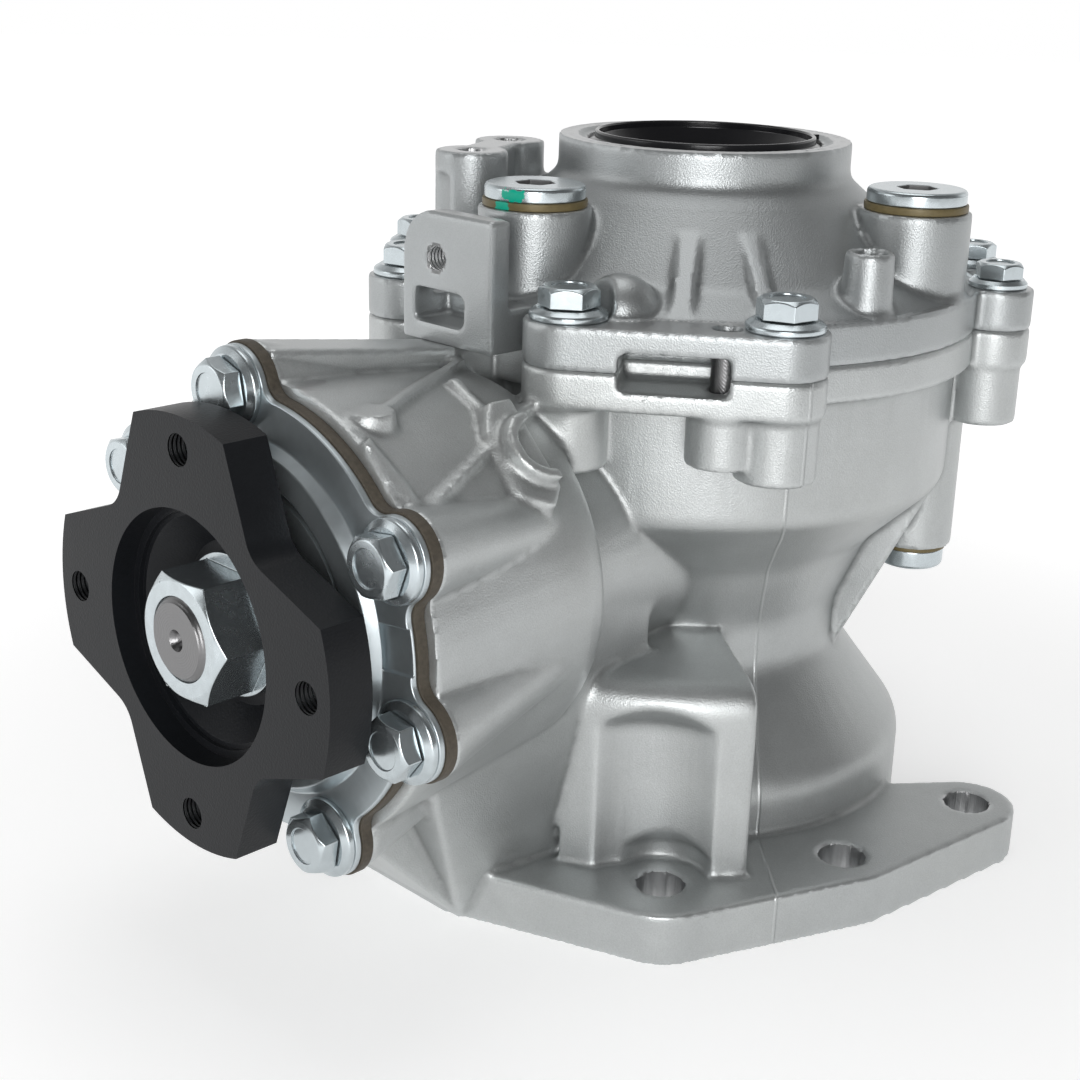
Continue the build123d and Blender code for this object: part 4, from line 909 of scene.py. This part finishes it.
class PIECE_OT_bolts(bpy.types.Operator):
    """Flange bolts of the cover and of the retainer plate"""

    bl_idname = "transfer.bolts"
    bl_label = "Flange bolts"

    def execute(self, context):
        turns = [12, 38, 22, 50, 5, 31, 44]
        # Width across flats, washer radius, washer height and head height
        large = (15 * MM, 11 * MM, 1.8 * MM, 9 * MM)
        small = (13 * MM, 8.8 * MM, 1.5 * MM, 7.5 * MM)
        groups = [
            ("Cover_bolt_heads", "cover_bolts", large, COVER_BOLTS, upright_head),
            ("Rear_cover_bolt_heads", "rear_cover_bolts", small, SMALL_BOLTS, upright_head),
            ("Plate_bolt_heads", "plate_bolts", large, PLATE_BOLTS, plate_head),
        ]
        for title, node, sizes, places, stand in groups:
            matrices = [stand(place, turn) for place, turn in zip(places, turns)]
            heads = place_copies(flange_bolt("Bolt", *sizes), title, matrices)
            finish_piece(heads, finishes["zinc"], "housing", [node], 30)
        return {"FINISHED"}


SOCKET_REACH = 6.3 * MM
SOCKET_DEPTH = 12 * MM


def paint_socket_shade(plug, upright_plug):
    """Gives the hexagon socket its darker finish, as painted shade inside the socket."""
    plug.data.materials.append(finishes["socket"])
    corners = [Vector(c) for c in plug.bound_box]
    low, high = min(c.z for c in corners), max(c.z for c in corners)
    middle = sum(corners, Vector()) / 8
    for face in plug.data.polygons:
        away = face.center - middle
        depth = high - face.center.z if upright_plug else face.center.z - low
        if sqrt(away.x**2 + away.y**2) < SOCKET_REACH and 0.25 * MM < depth < SOCKET_DEPTH:
            face.material_index = 2


class PIECE_OT_plugs(bpy.types.Operator):
    """Oil plugs with their sealing washers"""

    bl_idname = "transfer.plugs"
    bl_label = "Plugs and washers"

    def execute(self, context):
        edge = context.scene.metal_look.edge
        for name in ("filler", "level", "drain"):
            plated = finishes["dabbed_zinc" if name == "filler" else "zinc"]
            sealing = finishes["dabbed_washer" if name == "filler" else "seal_washer"]
            title = name.title()
            plug = edged_copy([name + "_plug"], title + "_plug_body", edge, plated, "housing")
            # Painted shade inside the socket
            paint_socket_shade(plug, name != "drain")
            edged_copy(
                [name + "_washer"], title + "_washer_ring", edge * 0.8, sealing, "housing"
            )
        return {"FINISHED"}


class PIECE_OT_seals(bpy.types.Operator):
    """Collar seal with its funnel"""

    bl_idname = "transfer.seals"
    bl_label = "Seals"

    def execute(self, context):
        edged_copy(
            ["collar_seal"], "Collar_seal_body", 0.0003, finishes["black_rubber"], "housing"
        )
        return {"FINISHED"}


class PIECE_OT_carrier(bpy.types.Operator):
    """Scalloped iron rim and the plate in front of it"""

    bl_idname = "transfer.carrier"
    bl_label = "Carrier and plate"

    def execute(self, context):
        edged_copy(["pinion_carrier"], "Carrier_body", 0.0004, finishes["iron"], "housing")
        edged_copy(
            ["retainer_plate"], "Retainer_pressing", 0.0005, finishes["zinc_sheet"], "housing",
            segments=3,
        )
        return {"FINISHED"}


class PIECE_OT_output(bpy.types.Operator):
    """Four-arm flange, its nut, the deflector and the shaft end"""

    bl_idname = "transfer.output"
    bl_label = "Output flange"

    def execute(self, context):
        # The flange's bevel faces take the lighter edge finish as a painted highlight
        flange = edged_copy(
            ["output_flange"], "Flange_forging", 0.0006, finishes["phosphate"], "pinion_set",
            segments=3, edge_material=finishes["phosphate_edge"],
        )
        flange.data.materials.append(finishes["tapped_flange"])
        for face in flange.data.polygons:
            on_wall = any(near_bore(face.center, hole, 0.3 * MM) for hole in FLANGE_HOLES)
            if on_wall and abs(face.normal.x) < 0.5:
                face.material_index = 2
        # Hexagon nut with its corners turned off by a cone
        nut = merged_copy(["flange_nut"], "Flange_nut_body")
        deselect()
        reach = 19.6 * MM
        bpy.ops.mesh.primitive_cone_add(vertices=96, radius1=0.0494, radius2=0.0155, depth=reach)
        cone = bpy.context.active_object
        cone.data.transform(sideways(0, 0, NUT_END - reach / 2, 0))
        apply_modifier(nut, "BOOLEAN", operation="INTERSECT", object=cone, solver="EXACT")
        bpy.data.objects.remove(cone)
        merge_flats(nut)
        nut.data.materials.clear()
        nut.data.materials.append(finishes["zinc"])
        apply_modifier(
            nut, "BEVEL", width=0.0003, segments=2, limit_method="ANGLE", angle_limit=radians(28)
        )
        finish_piece(nut, None, "pinion_set", ["flange_nut"])
        edged_copy(["dust_deflector"], "Deflector_ring", 0.0003, finishes["zinc_sheet"], "pinion_set")
        edged_copy(
            ["pinion_shaft"], "Pinion_stem", 0.0003, finishes["steel"], "pinion_set", segments=1
        )
        return {"FINISHED"}


class PIECE_OT_inner_finish(bpy.types.Operator):
    """Finishes of the CAD pieces that stay as they are"""

    bl_idname = "transfer.inner_finish"
    bl_label = "Inner pieces"

    def execute(self, context):
        slots = {s["node"]: s["material_slot"] for s in frame["record"]["subparts"]}
        for name, node in nodes.items():
            if node.hide_render:
                continue
            node.data.materials.clear()
            node.data.materials.append(finishes[slots[name]])
        return {"FINISHED"}


# Stage


# Direction in which the white backdrop stands behind the object
BACKDROP_WAY = (0.45, 0.89, 0)
# The photograph's camera: place, yaw, pitch and roll in degrees, focal length and width in pixels
CAMERA_PLACE = Vector((-433.47, -360.39, 279.00)) * MM
CAMERA_TURN = (-45.44, 19.04, 1.64)
PHOTO_FOCUS, PHOTO_WIDTH = 1784.6, 1080


class STAGE_OT_studio(bpy.types.Operator):
    """Pale floor, soft lamps and the camera of the photograph"""

    bl_idname = "transfer.studio"
    bl_label = "Studio"

    def execute(self, context):
        scene = context.scene
        look = scene.stage_look
        deselect()
        bpy.ops.mesh.primitive_circle_add(vertices=128, radius=4, fill_type="NGON", location=(0, 0, 0))
        floor = bpy.context.active_object
        floor.name = "Studio_floor"
        material, tree, shader = new_material("Studio floor")
        shader.inputs["Base Color"].default_value = (*look.floor, 1)
        shader.inputs["Roughness"].default_value = 0.9
        # The lamps fade with distance, so the backdrop's own white takes over away from the object
        place = add_node(tree, "ShaderNodeTexCoord")
        away = add_node(tree, "ShaderNodeVectorMath", operation="LENGTH")
        link(tree, place.outputs["Object"], away.inputs[0])
        fade = add_node(tree, "ShaderNodeMapRange", interpolation_type="SMOOTHSTEP")
        fade.inputs["From Min"].default_value = 0.15
        fade.inputs["From Max"].default_value = 0.55
        fade.inputs["To Min"].default_value = look.near_white
        fade.inputs["To Max"].default_value = 0.8
        link(tree, away.outputs["Value"], fade.inputs["Value"])
        path = add_node(tree, "ShaderNodeLightPath")
        mirrored = calculate(
            tree, "MAXIMUM", path.outputs["Is Glossy Ray"], path.outputs["Is Transmission Ray"]
        )
        seen = calculate(tree, "MAXIMUM", path.outputs["Is Camera Ray"], mirrored)
        glow = calculate(tree, "MULTIPLY", seen, fade.outputs["Result"])
        link(tree, glow, shader.inputs["Emission Color"])
        shader.inputs["Emission Strength"].default_value = 1.0
        floor.data.materials.append(material)

        world = bpy.data.worlds.new("Studio")
        scene.world = world
        world.use_nodes = True
        tree = world.node_tree
        back = tree.nodes["Background"]
        back.inputs["Color"].default_value = (1, 1, 1, 1)
        path = add_node(tree, "ShaderNodeLightPath")
        # Metal sees the white backdrop behind the object and the dim room above and in front
        way = add_node(tree, "ShaderNodeTexCoord")
        parts = add_node(tree, "ShaderNodeSeparateXYZ")
        link(tree, way.outputs["Generated"], parts.inputs[0])
        height = add_node(tree, "ShaderNodeMapRange")
        link(tree, parts.outputs["Z"], height.inputs["Value"])
        height.inputs["From Min"].default_value = 0.15
        height.inputs["From Max"].default_value = 0.7
        height.inputs["To Min"].default_value = 1.0
        height.inputs["To Max"].default_value = 0.4
        behind = calculate(
            tree, "DOT_PRODUCT", way.outputs["Generated"], BACKDROP_WAY, kind="ShaderNodeVectorMath",
            output="Value",
        )
        side = add_node(tree, "ShaderNodeMapRange", interpolation_type="SMOOTHSTEP")
        link(tree, behind, side.inputs["Value"])
        side.inputs["From Min"].default_value = -0.45
        side.inputs["From Max"].default_value = 0.7
        side.inputs["To Min"].default_value = 0.16
        side.inputs["To Max"].default_value = 1.0
        seen = calculate(tree, "MULTIPLY", height.outputs["Result"], side.outputs["Result"])
        mirrored = calculate(
            tree, "MAXIMUM", path.outputs["Is Glossy Ray"], path.outputs["Is Transmission Ray"]
        )
        shine = add_node(tree, "ShaderNodeMix", data_type="FLOAT")
        link(tree, mirrored, shine.inputs[0])
        shine.inputs[2].default_value = look.room
        link(tree, seen, shine.inputs[3])
        level = add_node(tree, "ShaderNodeMix", data_type="FLOAT")
        link(tree, path.outputs["Is Camera Ray"], level.inputs[0])
        link(tree, shine.outputs[0], level.inputs[2])
        level.inputs[3].default_value = 1.0
        link(tree, level.outputs[0], back.inputs["Strength"])

        # Lamps: name, place, diameter and power in watts
        lamps = [
            ("Key", (-1.05, -0.95, 0.42), 0.8, 10.0),
            ("Top", (0.10, 0.15, 1.45), 1.0, 3.8),
            ("Side", (1.25, -0.5, 0.55), 0.7, 0.5),
            ("Left", (-1.15, 0.7, 0.5), 0.7, 1.8),
        ]
        target = Vector((-0.03, 0, 0.11))
        for name, place, size, power in lamps:
            data = bpy.data.lights.new(name, "AREA")
            data.shape = "DISK"
            data.size = size
            data.energy = power * look.lamp
            lamp = bpy.data.objects.new(name, data)
            scene.collection.objects.link(lamp)
            lamp.location = place
            lamp.rotation_euler = (target - Vector(place)).to_track_quat("-Z", "Y").to_euler()

        data = bpy.data.cameras.new("Photo camera")
        camera = bpy.data.objects.new("Photo camera", data)
        scene.collection.objects.link(camera)
        data.sensor_fit = "HORIZONTAL"
        data.sensor_width = 36
        data.lens = 36 * PHOTO_FOCUS / PHOTO_WIDTH
        data.clip_start = 0.01
        yaw, pitch, roll = (radians(angle) for angle in CAMERA_TURN)
        back_way = Vector((sin(yaw) * cos(pitch), -cos(yaw) * cos(pitch), sin(pitch)))
        right = (-back_way).cross(Vector((0, 0, 1))).normalized()
        up = right.cross(-back_way)
        turned_right = right * cos(roll) + up * sin(roll)
        turned_up = -right * sin(roll) + up * cos(roll)
        basis = Matrix((turned_right, turned_up, back_way)).transposed().to_4x4()
        camera.matrix_world = Matrix.Translation(CAMERA_PLACE) @ basis
        scene.camera = camera
        scene.view_settings.view_transform = "Standard"
        return {"FINISHED"}


class VIEW3D_PT_transfer_case(bpy.types.Panel):
    """Buttons for each piece of the transfer case"""

    bl_label = "Transfer case"
    bl_idname = "VIEW3D_PT_transfer_case"
    bl_space_type = "VIEW_3D"
    bl_region_type = "UI"
    bl_category = "Transfer case"

    def draw(self, context):
        for group in ("casting_look", "metal_look", "soft_look", "stage_look"):
            look = getattr(context.scene, group)
            box = self.layout.box()
            for name in look.__annotations__:
                box.prop(look, name)
        for operator in OPERATORS:
            self.layout.operator(operator.bl_idname)


LOOKS = {"casting_look": CastingLook, "metal_look": MetalLook, "soft_look": SoftLook, "stage_look": StageLook}
OPERATORS = [
    PIECE_OT_main_case,
    PIECE_OT_case_cover,
    PIECE_OT_bolts,
    PIECE_OT_plugs,
    PIECE_OT_seals,
    PIECE_OT_carrier,
    PIECE_OT_output,
    PIECE_OT_inner_finish,
    STAGE_OT_studio,
]


def register():
    for name, look in LOOKS.items():
        bpy.utils.register_class(look)
        setattr(bpy.types.Scene, name, PointerProperty(type=look))
    for operator in OPERATORS:
        bpy.utils.register_class(operator)
    bpy.utils.register_class(VIEW3D_PT_transfer_case)


def unregister():
    bpy.utils.unregister_class(VIEW3D_PT_transfer_case)
    for operator in reversed(OPERATORS):
        bpy.utils.unregister_class(operator)
    for name, look in LOOKS.items():
        delattr(bpy.types.Scene, name)
        bpy.utils.unregister_class(look)


def main():
    register()
    make_finishes()
    for operator in OPERATORS:
        group, name = operator.bl_idname.split(".")
        getattr(getattr(bpy.ops, group), name)()


if __name__ == "__main__":
    main()
